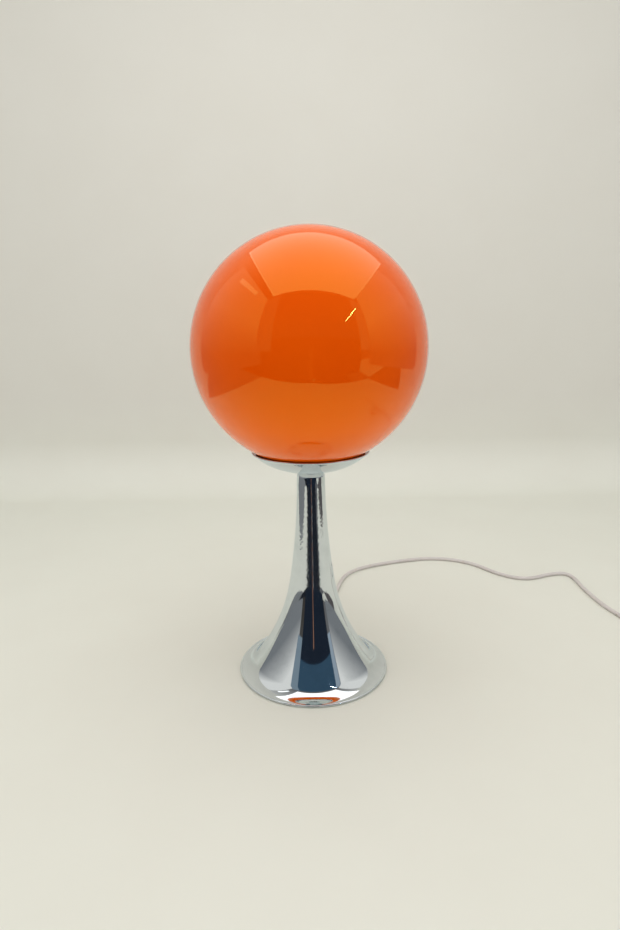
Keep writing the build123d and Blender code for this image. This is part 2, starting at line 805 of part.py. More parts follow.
# ---------------------------------------------------------------- bulb
bulb_cap_z = bulb_tip_z + bulb_cap_base
bulb_cap_top_z = bulb_cap_z + bulb_cap_turns * thread_pitch
bulb_root = bulb_cap_crest - thread_depth
bulb_z = bulb_tip_z + bulb_length - bulb_radius
throat_z = bulb_z - math.sqrt(
    (bulb_radius + bulb_throat_arc) ** 2 - (bulb_neck + bulb_throat_arc) ** 2
)
throat_centre = (bulb_neck + bulb_throat_arc, throat_z)
throat_angle = math.degrees(math.atan2(bulb_z - throat_z, throat_centre[0]))
neck_foot_z = bulb_cap_top_z - bulb_neck_in_cap

with BuildPart() as bulb_contact:
    with BuildSketch(Plane.XY.offset(bulb_tip_z)):
        Circle(bulb_contact_radius)
    extrude(amount=bulb_contact_height)
    fillet(bulb_contact.edges().filter_by(GeomType.CIRCLE).sort_by(Axis.Z)[0], bulb_contact_round)
finish(bulb_contact, "bulb_contact")

with BuildPart() as bulb_insulator:
    with BuildSketch(Plane.XZ):
        with BuildLine():
            foot_z = bulb_tip_z + bulb_contact_height
            Polyline(
                (0, foot_z), (bulb_contact_radius + insulator_step, foot_z),
                (bulb_root - bulb_cap_wall - insulator_gap, bulb_cap_z), (0, bulb_cap_z), close=True,
            )
        make_face()
    revolve(axis=Axis.Z)
finish(bulb_insulator, "bulb_insulator")

with BuildPart() as bulb_cap:
    with BuildSketch(Plane.XZ):
        rounded_thread(bulb_cap_crest, thread_depth, bulb_cap_z, bulb_cap_turns, bulb_cap_wall)
    with BuildSketch(Plane.XZ):
        with Locations((bulb_root - bulb_cap_wall - bulb_rim_width, bulb_cap_z)):
            Rectangle(
                bulb_rim_width + bulb_cap_wall, bulb_rim_thickness, align=(Align.MIN, Align.MIN)
            )
    revolve(axis=Axis.Z)
finish(bulb_cap, "bulb_cap")

with BuildPart() as bulb_envelope:
    with BuildSketch(Plane.XZ):
        with BuildLine():
            for wall in (0.0, bulb_wall):
                ball = CenterArc(
                    (0, bulb_z), bulb_radius - wall, -throat_angle, 90 + throat_angle
                )
                throat = CenterArc(
                    throat_centre, bulb_throat_arc + wall, 180 - throat_angle, throat_angle
                )
                Line(throat @ 1, (bulb_neck - wall, neck_foot_z))
            Line((bulb_neck, neck_foot_z), (bulb_neck - bulb_wall, neck_foot_z))
            Line((0, bulb_z + bulb_radius), (0, bulb_z + bulb_radius - bulb_wall))
        make_face()
    revolve(axis=Axis.Z)
finish(bulb_envelope, "bulb_envelope")

mount_top_z = throat_z + mount_height
mount_foot_radius = bulb_neck - bulb_wall - bulb_gap
with BuildPart() as bulb_stem:
    with BuildSketch(Plane.XZ):
        with BuildLine():
            Polyline(
                (0, neck_foot_z), (mount_foot_radius, neck_foot_z),
                (mount_foot_radius, neck_foot_z + mount_foot_height),
                (mount_radius, neck_foot_z + mount_flare_height),
                (mount_top_radius, mount_top_z - press_height), (press_radius, mount_top_z),
                (0, mount_top_z), close=True,
            )
        make_face()
    revolve(axis=Axis.Z)
finish(bulb_stem, "bulb_stem")

with BuildPart() as bulb_filament:
    with BuildLine(Plane.XZ) as wire:
        peak_z, sag_z = mount_top_z + filament_rise, mount_top_z + filament_rise - filament_sag
        held_z, lead_z = mount_top_z - filament_held, mount_top_z + filament_lead_rise
        FilletPolyline(
            (-filament_lead, held_z), (-filament_lead, lead_z), (-filament_span, peak_z),
            (-filament_span / 2, sag_z), (0, peak_z), (filament_span / 2, sag_z),
            (filament_span, peak_z), (filament_lead, lead_z), (filament_lead, held_z),
            radius=filament_bend,
        )
    with BuildSketch(Plane(origin=wire.line @ 0, z_dir=wire.line % 0)):
        Circle(filament_radius)
    sweep(path=wire.line)
    add(bulb_stem.part, mode=Mode.SUBTRACT)
finish(bulb_filament, "bulb_filament")

# ---------------------------------------------------------------- cord inside the lamp
cord_bend = bridge_z - cord_exit_z - cord_rod_lead
sheath_top_z = rod_top_z + sheath_above_rod
with BuildPart() as cord_inner:
    with BuildLine(exit_side) as inner_route:
        level = Line((sleeve_end, cord_exit_z), (cord_bend, cord_exit_z))
        rise = CenterArc((cord_bend, cord_exit_z + cord_bend), cord_bend, 180, 90)
        Line((0, cord_exit_z + cord_bend), (0, sheath_top_z))
    with BuildSketch(exit_face(sleeve_end)):
        Circle(cord_radius)
    sweep(path=inner_route.wires()[0])
finish(cord_inner, "cord_inner")

with BuildPart() as holder_wires:
    for side in (1, -1):
        with BuildLine(Plane.XZ) as core:
            core_z = insert_z - core_under_insert
            FilletPolyline(
                (side * core_spread, sheath_top_z), (side * core_spread, sheath_top_z + core_straight),
                (side * terminal_offset, core_z), (side * (terminal_offset + core_past_terminal), core_z),
                radius=core_bend,
            )
        path = core.wires()[0]
        with BuildSketch(Plane(origin=path @ 0, z_dir=path % 0)):
            Circle(core_radius)
        sweep(path=path)
finish(holder_wires, "holder_wires")

# ---------------------------------------------------------------- strain relief
with BuildPart() as cord_grommet:
    with BuildSketch(exit_side):
        cord_hole = cord_exit_z + cord_radius + cord_gap
        sleeve_base, sleeve_tip = cord_exit_z + sleeve_base_radius, cord_exit_z + sleeve_tip_radius
        with BuildLine():
            Polyline(
                (wall_distance - grommet_inside, cord_hole),
                (wall_distance - grommet_inside, cord_exit_z + grommet_collar),
                (collar_distance, cord_exit_z + grommet_collar), (collar_distance, sleeve_base),
                (sleeve_end, sleeve_tip), (sleeve_end, cord_hole), close=True,
            )
        make_face()
    revolve(axis=exit_line)
    add(trumpet_shell.part, mode=Mode.SUBTRACT)
    groove_step = sleeve_length / (sleeve_grooves + 1)
    for k in range(1, sleeve_grooves + 1):
        with BuildSketch(exit_face(collar_distance + groove_step * k - groove_width / 2)):
            taper = (sleeve_base_radius - sleeve_tip_radius) * k / (sleeve_grooves + 1)
            Circle(grommet_collar)
            Circle(sleeve_base_radius - taper - groove_depth, mode=Mode.SUBTRACT)
        extrude(amount=groove_width, mode=Mode.SUBTRACT)
finish(cord_grommet, "cord_grommet")

# ---------------------------------------------------------------- free cord


def corner_radii(points):
    """Radius of each corner of a route, from its shorter run and half its turn."""
    radii = []
    for before, corner, after in zip(points, points[1:], points[2:]):
        first, second = Vector(corner) - Vector(before), Vector(after) - Vector(corner)
        half_turn = math.radians(first.get_angle(second)) / 2
        shorter = min(first.length, second.length)
        radii.append(cord_corner_share * shorter / math.tan(half_turn))
    return radii


def cord_tube(points, node):
    """A free stretch of cord: straight runs joined by tangent arcs."""
    radii = corner_radii(points)
    with BuildPart() as tube:
        with BuildLine() as route:
            FilletPolyline(*points, radius=radii)
        path = route.wires()[0]
        with BuildSketch(Plane(origin=path @ 0, z_dir=path % 0)):
            Circle(cord_radius)
        sweep(path=path)
    expected = math.pi * cord_radius**2 * path.length
    print(node, "radii", [round(r, 1) for r in radii], "length", round(path.length, 1),
          "volume over section times length", round(tube.part.volume / expected, 5))
    finish(tube, node)
    return path.length


exit_start = exit_face(sleeve_end).origin
exit_second = exit_face(sleeve_end + cord_straight_out).origin
run_length = cord_tube([tuple(exit_start), tuple(exit_second)] + cord_on_table, "cord_run")
lead_length = cord_tube(cord_switch_to_coil, "cord_lead")
tail_length = cord_tube(cord_coil_to_plug, "cord_tail")

# The coil: clockwise from its outer end, inwards in the lower layer, outwards in the upper one.
coil_half = coil_turns / 2
coil_outer_radius = coil_inner_radius + coil_pitch * (coil_half - coil_climb / 4)
coil_start = Vector(cord_switch_to_coil[-1])
coil_lead_in = 2 * cord_radius
coil_middle = coil_start + Vector(-coil_outer_radius, -coil_lead_in, 0)


def coil_place(turns):
    """Middle of the cord after so many turns of the coil."""
    away = abs(turns - coil_half)
    half_climb = coil_climb / 2
    eased = away - half_climb / 2 if away > half_climb else away**2 / (2 * half_climb)
    radius = coil_inner_radius + coil_pitch * eased
    done = min(max((turns - coil_half + half_climb) / coil_climb, 0.0), 1.0)
    angle = -2 * math.pi * turns
    return coil_middle + Vector(
        radius * math.cos(angle), radius * math.sin(angle), coil_layer * done**2 * (3 - 2 * done)
    )


def coil_heading(turns):
    """Direction of the cord after so many turns; both ends head straight along -Y."""
    if turns in (0.0, coil_turns):
        return Vector(0, -1, 0)
    step = 0.001
    return (coil_place(turns + step) - coil_place(turns - step)).normalized()


def half_way(start, heading, end):
    """Middle of the arc that leaves start along heading and ends at end."""
    chord = end - start
    angle = heading.get_angle(chord)
    side = (heading * chord.length - chord * math.cos(math.radians(angle))).normalized()
    return (start + end) * 0.5 + side * (chord.length / 2 * math.tan(math.radians(angle / 2)))


def biarc(start, heading, end, end_heading):
    """Two arcs that meet smoothly between two places with given headings."""
    chord, both = end - start, heading + end_heading
    a, b, c = both.dot(both) - 4, -2 * chord.dot(both), chord.dot(chord)
    reach = (-b - math.sqrt(b * b - 4 * a * c)) / (2 * a)
    joint = (start + end + (heading - end_heading) * reach) * 0.5
    ThreePointArc(start, half_way(start, heading, joint), joint)
    ThreePointArc(joint, half_way(end, end_heading * -1, joint), end)


with BuildPart() as cord_coil:
    with BuildLine() as coil_route:
        Line(coil_start, coil_place(0.0))
        stops = [k / coil_stops for k in range(int(round(coil_turns * coil_stops)) + 1)]
        for here, there in zip(stops, stops[1:]):
            biarc(coil_place(here), coil_heading(here), coil_place(there), coil_heading(there))
        Line(coil_place(coil_turns), coil_place(coil_turns) + Vector(0, -coil_lead_in, 0))
    coil_line = coil_route.wires()[0]
    with BuildSketch(Plane(origin=coil_start, z_dir=(0, -1, 0))):
        Circle(cord_radius)
    sweep(path=coil_line)
finish(cord_coil, "cord_coil")


def least_gap(line, samples, skipped):
    """Least air between a tube and itself, from points along its middle more than skipped mm apart."""
    places = [line.position_at(k / samples) for k in range(samples + 1)]
    step = line.length / samples
    apart = int(skipped / step) + 1
    return min(
        (places[i] - places[j]).length
        for i in range(samples + 1)
        for j in range(i + apart, samples + 1)
    ) - 2 * cord_radius


coil_volume = math.pi * cord_radius**2 * coil_line.length
print("coil length", round(coil_line.length, 1), "outer radius", round(coil_outer_radius, 2),
      "volume over section times length", round(cord_coil.part.volume / coil_volume, 5),
      "least gap to itself", round(least_gap(coil_line, gap_samples, gap_skipped), 3))
cord_total = run_length + switch_length + lead_length + coil_line.length + tail_length
print("cord from strain relief to plug", round(cord_total, 1))

# The tie goes round the coil's turns on its far side from the entry.
tie_inner = coil_inner_radius - cord_radius - tie_gap
tie_outer = coil_outer_radius + cord_radius + tie_gap
tie_height = coil_start.Z + coil_layer + cord_radius + tie_gap
with BuildPart() as cord_tie:
    with BuildSketch(Plane(origin=(coil_middle.X, coil_middle.Y, 0), x_dir=(-1, 0, 0), z_dir=(0, 1, 0))):
        with Locations(((tie_inner + tie_outer) / 2, tie_height / 2)):
            RectangleRounded(
                tie_outer - tie_inner + 2 * tie_thickness, tie_height + tie_thickness, tie_corner
            )
            with Locations((0, 0)):
                RectangleRounded(
                    tie_outer - tie_inner, tie_height - tie_thickness,
                    tie_corner - tie_thickness, mode=Mode.SUBTRACT,
                )
    extrude(amount=tie_width / 2, both=True)
finish(cord_tie, "cord_tie")

# ---------------------------------------------------------------- switch on the cord


def switch_level(height):
    """A level plane at the switch's middle; the cord runs along its Y."""
    return Plane(origin=(switch_x, switch_y, height))


def switch_cross(place):
    """An upright plane across the cord in the switch; its Y is up and its normal is +Y."""
    return Plane(origin=(switch_x, switch_y + place, switch_split_z), x_dir=(-1, 0, 0), z_dir=(0, 1, 0))


switch_posts = [(switch_post_across, switch_post_along), (-switch_post_across, -switch_post_along)]
switch_head_z = switch_head_lift + switch_head_height
inner_width, inner_length = switch_width - 2 * switch_wall, switch_length - 2 * switch_wall
with BuildPart() as switch_lower:
    with BuildSketch(switch_level(0)):
        RectangleRounded(switch_width, switch_length, switch_corner)
    extrude(amount=switch_split_z)
    fillet(switch_lower.faces().sort_by(Axis.Z)[0].edges(), switch_bottom_round)
    with BuildSketch(switch_level(switch_wall)):
        RectangleRounded(inner_width, inner_length, switch_corner - switch_wall)
    extrude(amount=switch_split_z, mode=Mode.SUBTRACT)
    with BuildSketch(switch_level(switch_wall)):
        with Locations(*switch_posts):
            Circle(switch_post_radius)
    extrude(amount=switch_split_z - switch_wall)
    with BuildSketch(switch_level(0)):
        with Locations(*switch_posts):
            Circle(switch_screw_head + screw_clearance)
    extrude(amount=switch_head_z, mode=Mode.SUBTRACT)
    with BuildSketch(switch_level(0)):
        with Locations(*switch_posts):
            Circle(switch_screw_radius + thread_clearance)
    extrude(amount=switch_split_z, mode=Mode.SUBTRACT)
    with BuildSketch(switch_cross(0)):
        Circle(cord_radius + cord_gap)
    extrude(amount=switch_length, both=True, mode=Mode.SUBTRACT)
finish(switch_lower, "switch_lower")

with BuildPart() as switch_upper:
    with BuildSketch(switch_level(switch_split_z)):
        RectangleRounded(switch_width, switch_length, switch_corner)
    extrude(amount=switch_height - switch_split_z)
    fillet(switch_upper.faces().sort_by(Axis.Z)[-1].edges(), switch_top_round)
    with BuildSketch(switch_level(switch_split_z)):
        RectangleRounded(inner_width, inner_length, switch_corner - switch_wall)
    extrude(amount=switch_height - switch_split_z - switch_wall, mode=Mode.SUBTRACT)
    ear_x = rocker_width / 2 + rocker_gap + ear_thickness / 2
    with BuildSketch(switch_level(pivot_z - ear_below_pin)):
        with Locations((ear_x, 0), (-ear_x, 0)):
            Rectangle(ear_thickness, 2 * ear_half_length)
    extrude(amount=switch_height - switch_wall / 2 - pivot_z + ear_below_pin)
    with BuildSketch(switch_level(switch_split_z)):
        with Locations(*switch_posts):
            Circle(switch_post_radius)
    extrude(amount=switch_height - switch_wall / 2 - switch_split_z)
    with BuildSketch(switch_level(switch_split_z)):
        Rectangle(rocker_width + 2 * rocker_gap, 2 * rocker_window_half)
    extrude(amount=switch_height, mode=Mode.SUBTRACT)
    with BuildSketch(switch_level(0)):
        with Locations(*switch_posts):
            Circle(switch_screw_radius)
    extrude(amount=switch_head_z + switch_screw_length + switch_screw_end_gap, mode=Mode.SUBTRACT)
    with BuildSketch(switch_cross(0)):
        Circle(cord_radius + cord_gap)
    extrude(amount=switch_length, both=True, mode=Mode.SUBTRACT)
    with BuildSketch(Plane(origin=(switch_x, switch_y, pivot_z), z_dir=(1, 0, 0))):
        Circle(pivot_radius)
    extrude(amount=pivot_half_length, both=True, mode=Mode.SUBTRACT)
finish(switch_upper, "switch_upper")

with BuildPart() as switch_pin:
    with BuildSketch(Plane(origin=(switch_x, switch_y, pivot_z), z_dir=(1, 0, 0))):
        Circle(pivot_radius)
    extrude(amount=pivot_half_length, both=True)
finish(switch_pin, "switch_pin")

# The rocker is drawn level in a plane that is tipped to its rest.
tilt = math.radians(rocker_tilt)
rocker_side = Plane(
    origin=(switch_x, switch_y, pivot_z), x_dir=(0, math.cos(tilt), math.sin(tilt)), z_dir=(1, 0, 0)
)
with BuildPart() as switch_rocker:
    with BuildSketch(rocker_side):
        with BuildLine():
            ThreePointArc(
                (-rocker_half_length, rocker_end_height), (0, rocker_dip_height),
                (rocker_half_length, rocker_end_height),
            )
            Polyline(
                (rocker_half_length, rocker_end_height), (rocker_foot_half, -rocker_depth),
                (-rocker_foot_half, -rocker_depth), (-rocker_half_length, rocker_end_height),
            )
        make_face()
        Circle(pivot_radius + pivot_clearance, mode=Mode.SUBTRACT)
    extrude(amount=rocker_width / 2, both=True)
finish(switch_rocker, "switch_rocker")

screws(
    "switch_screws",
    [Vector(switch_x + x, switch_y + y, switch_head_z) for x, y in switch_posts],
    -1, switch_screw_radius, switch_screw_length, switch_screw_head, switch_head_height,
)

with BuildPart() as switch_leads:
    stub_end = switch_length / 2 - switch_stub
    for side in (1, -1):
        with BuildSketch(switch_cross(side * stub_end)):
            Circle(cord_radius)
        extrude(amount=side * switch_stub)
        with BuildSketch(switch_cross(side * stub_end)):
            with Locations((lead_offset, 0)):
                Circle(lead_radius)
        extrude(amount=side * (contact_place + strip_thickness - stub_end))
    with BuildSketch(switch_cross(-stub_end)):
        with Locations((-lead_offset, 0)):
            Circle(lead_radius)
    extrude(amount=2 * stub_end)
finish(switch_leads, "switch_leads")

strip_x = lead_radius - lead_offset - strip_width / 2
with BuildPart() as switch_contacts:
    for side in (1, -1):
        with BuildSketch(switch_level(switch_wall)):
            with Locations((strip_x, side * contact_place)):
                foot_align = Align.MIN if side < 0 else Align.MAX
                Rectangle(strip_width, strip_foot, align=(Align.CENTER, foot_align))
        extrude(amount=strip_thickness)
        with BuildSketch(switch_level(switch_wall)):
            with Locations((strip_x, side * contact_place)):
                riser_align = Align.MIN if side > 0 else Align.MAX
                Rectangle(strip_width, strip_thickness, align=(Align.CENTER, riser_align))
        extrude(amount=contact_top_z - switch_wall)
finish(switch_contacts, "switch_contacts")

# ---------------------------------------------------------------- plug
plug_z = plug_thickness / 2


def plug_cross(place):
    """An upright plane across the plug, this far behind its front; its normal is +Y, away from the pins."""
    return Plane(origin=(plug_x, plug_front_y + place, plug_z), x_dir=(-1, 0, 0), z_dir=(0, 1, 0))


with BuildPart() as plug_body:
    with BuildSketch(Plane(origin=(plug_x, plug_front_y, 0))):
        with BuildLine():
            Polyline(
                (-plug_width / 2, 0), (plug_width / 2, 0), (plug_width / 2, plug_shoulder),
                (plug_rear_width / 2, plug_length), (-plug_rear_width / 2, plug_length),
                (-plug_width / 2, plug_shoulder), close=True,
            )
        make_face()
    extrude(amount=plug_thickness)
    fillet(plug_body.edges().filter_by(Axis.Z), plug_round)
    fillet(plug_body.faces().sort_by(Axis.Z)[-1].edges(), plug_round)
    fillet(plug_body.faces().sort_by(Axis.Z)[0].edges(), plug_round)
    with BuildSketch(plug_cross(0)):
        with Locations((pin_spacing / 2, 0), (-pin_spacing / 2, 0)):
            Circle(pin_core_radius + moulding_gap)
    extrude(amount=pin_embedded + moulding_gap, mode=Mode.SUBTRACT)
finish(plug_body, "plug_body")

with BuildPart() as plug_pins:
    with BuildSketch(plug_cross(pin_embedded)):
        with Locations((pin_spacing / 2, 0), (-pin_spacing / 2, 0)):
            Circle(pin_core_radius)
    extrude(amount=-pin_embedded - pin_sleeve_length)
    with BuildSketch(plug_cross(-pin_sleeve_length)):
        with Locations((pin_spacing / 2, 0), (-pin_spacing / 2, 0)):
            Circle(pin_radius)
    extrude(amount=pin_sleeve_length - pin_length)
    fillet(plug_pins.edges().filter_by(GeomType.CIRCLE).group_by(Axis.Y)[0], pin_round)
finish(plug_pins, "plug_pins")

with BuildPart() as plug_sleeves:
    with BuildSketch(plug_cross(0)):
        with Locations((pin_spacing / 2, 0), (-pin_spacing / 2, 0)):
            Circle(pin_sleeve_radius)
            Circle(pin_core_radius + moulding_gap, mode=Mode.SUBTRACT)
    extrude(amount=-pin_sleeve_length)
finish(plug_sleeves, "plug_sleeves")

with BuildPart() as plug_boot:
    with BuildSketch(Plane(origin=(plug_x, plug_front_y + plug_length, plug_z))):
        with BuildLine():
            rings = [(0.0, 0.0), (boot_base_radius, 0.0)]
            for k in range(1, boot_grooves + 1):
                share = k / (boot_grooves + 1)
                y, r = boot_length * share, boot_base_radius + (boot_tip_radius - boot_base_radius) * share
                near, far = y - boot_groove_half, y + boot_groove_half
                rings += [(r, near), (r - boot_groove_depth, near), (r - boot_groove_depth, far), (r, far)]
            rings += [(boot_tip_radius, boot_length), (0.0, boot_length)]
            Polyline(*rings, close=True)
        make_face()
    revolve(axis=Axis((plug_x, plug_front_y + plug_length, plug_z), (0, 1, 0)))
finish(plug_boot, "plug_boot")
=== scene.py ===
"""Dresses the glass globe table lamp: turned surfaces, cord, finishes, table, light and camera.

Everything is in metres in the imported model's frame: +Z up, the origin on the table under the middle
of the foot. Sizes that repeat the solids are written in millimetres and multiplied by MM.
"""
import logging
import math
from dataclasses import dataclass, field
from enum import Enum

import bpy
import numpy as np
from mathutils import Matrix


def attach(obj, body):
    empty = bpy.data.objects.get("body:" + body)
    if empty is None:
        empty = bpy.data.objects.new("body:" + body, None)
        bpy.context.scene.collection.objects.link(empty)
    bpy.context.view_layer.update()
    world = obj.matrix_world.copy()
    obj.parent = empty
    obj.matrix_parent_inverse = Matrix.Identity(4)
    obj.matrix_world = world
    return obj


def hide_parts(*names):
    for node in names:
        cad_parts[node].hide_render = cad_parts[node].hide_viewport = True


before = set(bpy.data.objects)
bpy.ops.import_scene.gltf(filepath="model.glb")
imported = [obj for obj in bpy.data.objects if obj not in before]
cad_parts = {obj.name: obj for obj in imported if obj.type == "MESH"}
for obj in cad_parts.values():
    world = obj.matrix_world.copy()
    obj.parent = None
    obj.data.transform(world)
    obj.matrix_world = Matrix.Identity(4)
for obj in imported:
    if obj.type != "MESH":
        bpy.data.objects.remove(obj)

Array = np.ndarray
Colour = tuple[float, float, float]
Place = tuple[float, float, float]
Pair = tuple[float, float]
Socket = bpy.types.NodeSocket
Material = bpy.types.Material

MM = 0.001
FINE, MIDDLE, COARSE, SMALL = 256, 128, 96, 64   # steps round turned pieces, large to small
log = logging.getLogger("globe_lamp")


# ------------ mesh building
@dataclass(frozen=True)
class Axle:
    """The line that a turned piece is round: a place on it, its direction, and one across it."""

    place: Place = (0.0, 0.0, 0.0)
    along: Place = (0.0, 0.0, 1.0)
    side: Place = (1.0, 0.0, 0.0)


@dataclass
class Form:
    """Vertices, faces and the ring coordinates of a surface, before it becomes a mesh."""

    vertices: Array
    quads: Array
    triangles: Array
    spun: Array


def turned(profile: Array, closed: bool, axle: Axle, segments: int) -> Form:
    """Turn a half section about an axle.

    A point (r, h) of the section becomes place + h * along + r * (cos a * side + sin a * across),
    for each of the angles a. Points with r = 0 at an end are one pole each. The section runs
    anticlockwise, which turns the faces outwards.

    Args:
        profile: n rows of distance from the axle and height along it, in metres.
        closed: whether the last point joins the first one.
        axle: the line it is turned about.
        segments: how many steps go round.

    Returns:
        The form, with ring coordinates (cos a, sin a, length along the section).
    """
    poles = [k for k in (0, len(profile) - 1) if not closed and profile[k, 0] == 0.0]
    rings = np.delete(profile, poles, axis=0)
    steps = np.linalg.norm(np.diff(profile, axis=0), axis=1)
    run = np.concatenate([[0.0], np.cumsum(steps)])
    ring_run = np.delete(run, poles)
    angle = np.linspace(0.0, 2 * math.pi, segments, endpoint=False)
    along, side = np.array(axle.along), np.array(axle.side)
    across = np.cross(along, side)
    spoke = np.cos(angle)[:, None] * side + np.sin(angle)[:, None] * across
    grid = (np.array(axle.place) + rings[:, None, 1:2] * along
            + rings[:, None, 0:1] * spoke[None, :, :])
    spun = np.empty_like(grid)
    spun[..., 0], spun[..., 1] = np.cos(angle), np.sin(angle)
    spun[..., 2] = ring_run[:, None]
    count = len(rings)
    rows = np.arange(count if closed else count - 1)[:, None]
    columns = np.arange(segments)[None, :]
    after, beside = (rows + 1) % count, (columns + 1) % segments
    quads = np.stack([
        rows * segments + columns, rows * segments + beside,
        after * segments + beside, after * segments + columns,
    ], axis=-1).reshape(-1, 4)
    vertices, rounds = grid.reshape(-1, 3), spun.reshape(-1, 3)
    fans = []
    for pole in poles:
        tip = len(vertices)
        vertices = np.vstack([vertices, np.array(axle.place) + profile[pole, 1] * along])
        rounds = np.vstack([rounds, [0.0, 0.0, run[pole]]])
        ring = (0 if pole == 0 else count - 1) * segments
        here, there = ring + columns[0], ring + beside[0]
        pair = (there, here) if pole == 0 else (here, there)
        fans.append(np.stack([np.full(segments, tip), *pair], axis=-1))
    triangles = np.vstack(fans) if fans else np.empty((0, 3), int)
    return Form(vertices, quads, triangles, rounds)


def arc(centre: Pair, radius: float, start: float, end: float, count: int) -> Array:
    """Points of an arc: centre + radius * (cos a, sin a), a in degrees from start to end."""
    a = np.radians(np.linspace(start, end, count))
    return np.stack([centre[0] + radius * np.cos(a), centre[1] + radius * np.sin(a)], axis=-1)


def rounded(before: Array, corner: Array, after: Array, radius: float, count: int = 7) -> Array:
    """Points of the arc that rounds a corner.

    It touches both runs at radius / tan(half the corner).

    Args:
        before: a point on the run into the corner.
        corner: the corner itself.
        after: a point on the run out of it.
        radius: radius of the arc.
        count: how many points it has.

    Returns:
        The arc's points, in the order of the line.
    """
    back, on = np.subtract(before, corner), np.subtract(after, corner)
    back, on = back / np.linalg.norm(back), on / np.linalg.norm(on)
    half = math.acos(float(np.clip(back @ on, -1, 1))) / 2
    middle = (back + on) / np.linalg.norm(back + on)
    centre = np.array(corner) + middle * radius / math.sin(half)
    share = np.linspace(-1.0, 1.0, count)
    turn = share * (math.pi / 2 - half)
    across = (on - back) / np.linalg.norm(on - back)
    return centre + radius * (np.sin(turn)[:, None] * across - np.cos(turn)[:, None] * middle)


def softened(corners: list[Place], closed: bool = True) -> Array:
    """A line of straight runs whose corners are rounded, each by its own radius.

    Args:
        corners: distance, height and rounding radius of each corner; 0 keeps it sharp.
        closed: whether the line comes back to its start; an open one keeps its two ends.

    Returns:
        The points of the line.
    """
    spots = [np.array(c[:2]) for c in corners]
    parts = []
    for k, (_, _, radius) in enumerate(corners):
        end = not closed and k in (0, len(corners) - 1)
        if radius <= 0 or end:
            parts.append(spots[k][None, :])
            continue
        parts.append(rounded(spots[k - 1], spots[k], spots[(k + 1) % len(spots)], radius))
    return np.vstack(parts)


def placed(name: str, data: bpy.types.ID) -> bpy.types.Object:
    """A new object of a mesh, curve, light or camera, in the scene."""
    made = bpy.data.objects.new(name, data)
    bpy.context.scene.collection.objects.link(made)
    return made


# ------------ finishes
class Grain(Enum):
    """How the small relief of a finish runs, as the noise's stretch on the coordinates it reads."""

    EVEN = (1.0, 1.0, 1.0)
    DRAWN = (1.0, 1.0, 0.08)
    TURNED = (0.03, 0.03, 1.0)


@dataclass(frozen=True)
class Cloud:
    """A noise, in cells to a unit, and the two of its values between which it rises from 0 to 1."""

    scale: float
    detail: float = 2.0
    rough: float = 0.5
    low: float = 0.0
    high: float = 1.0


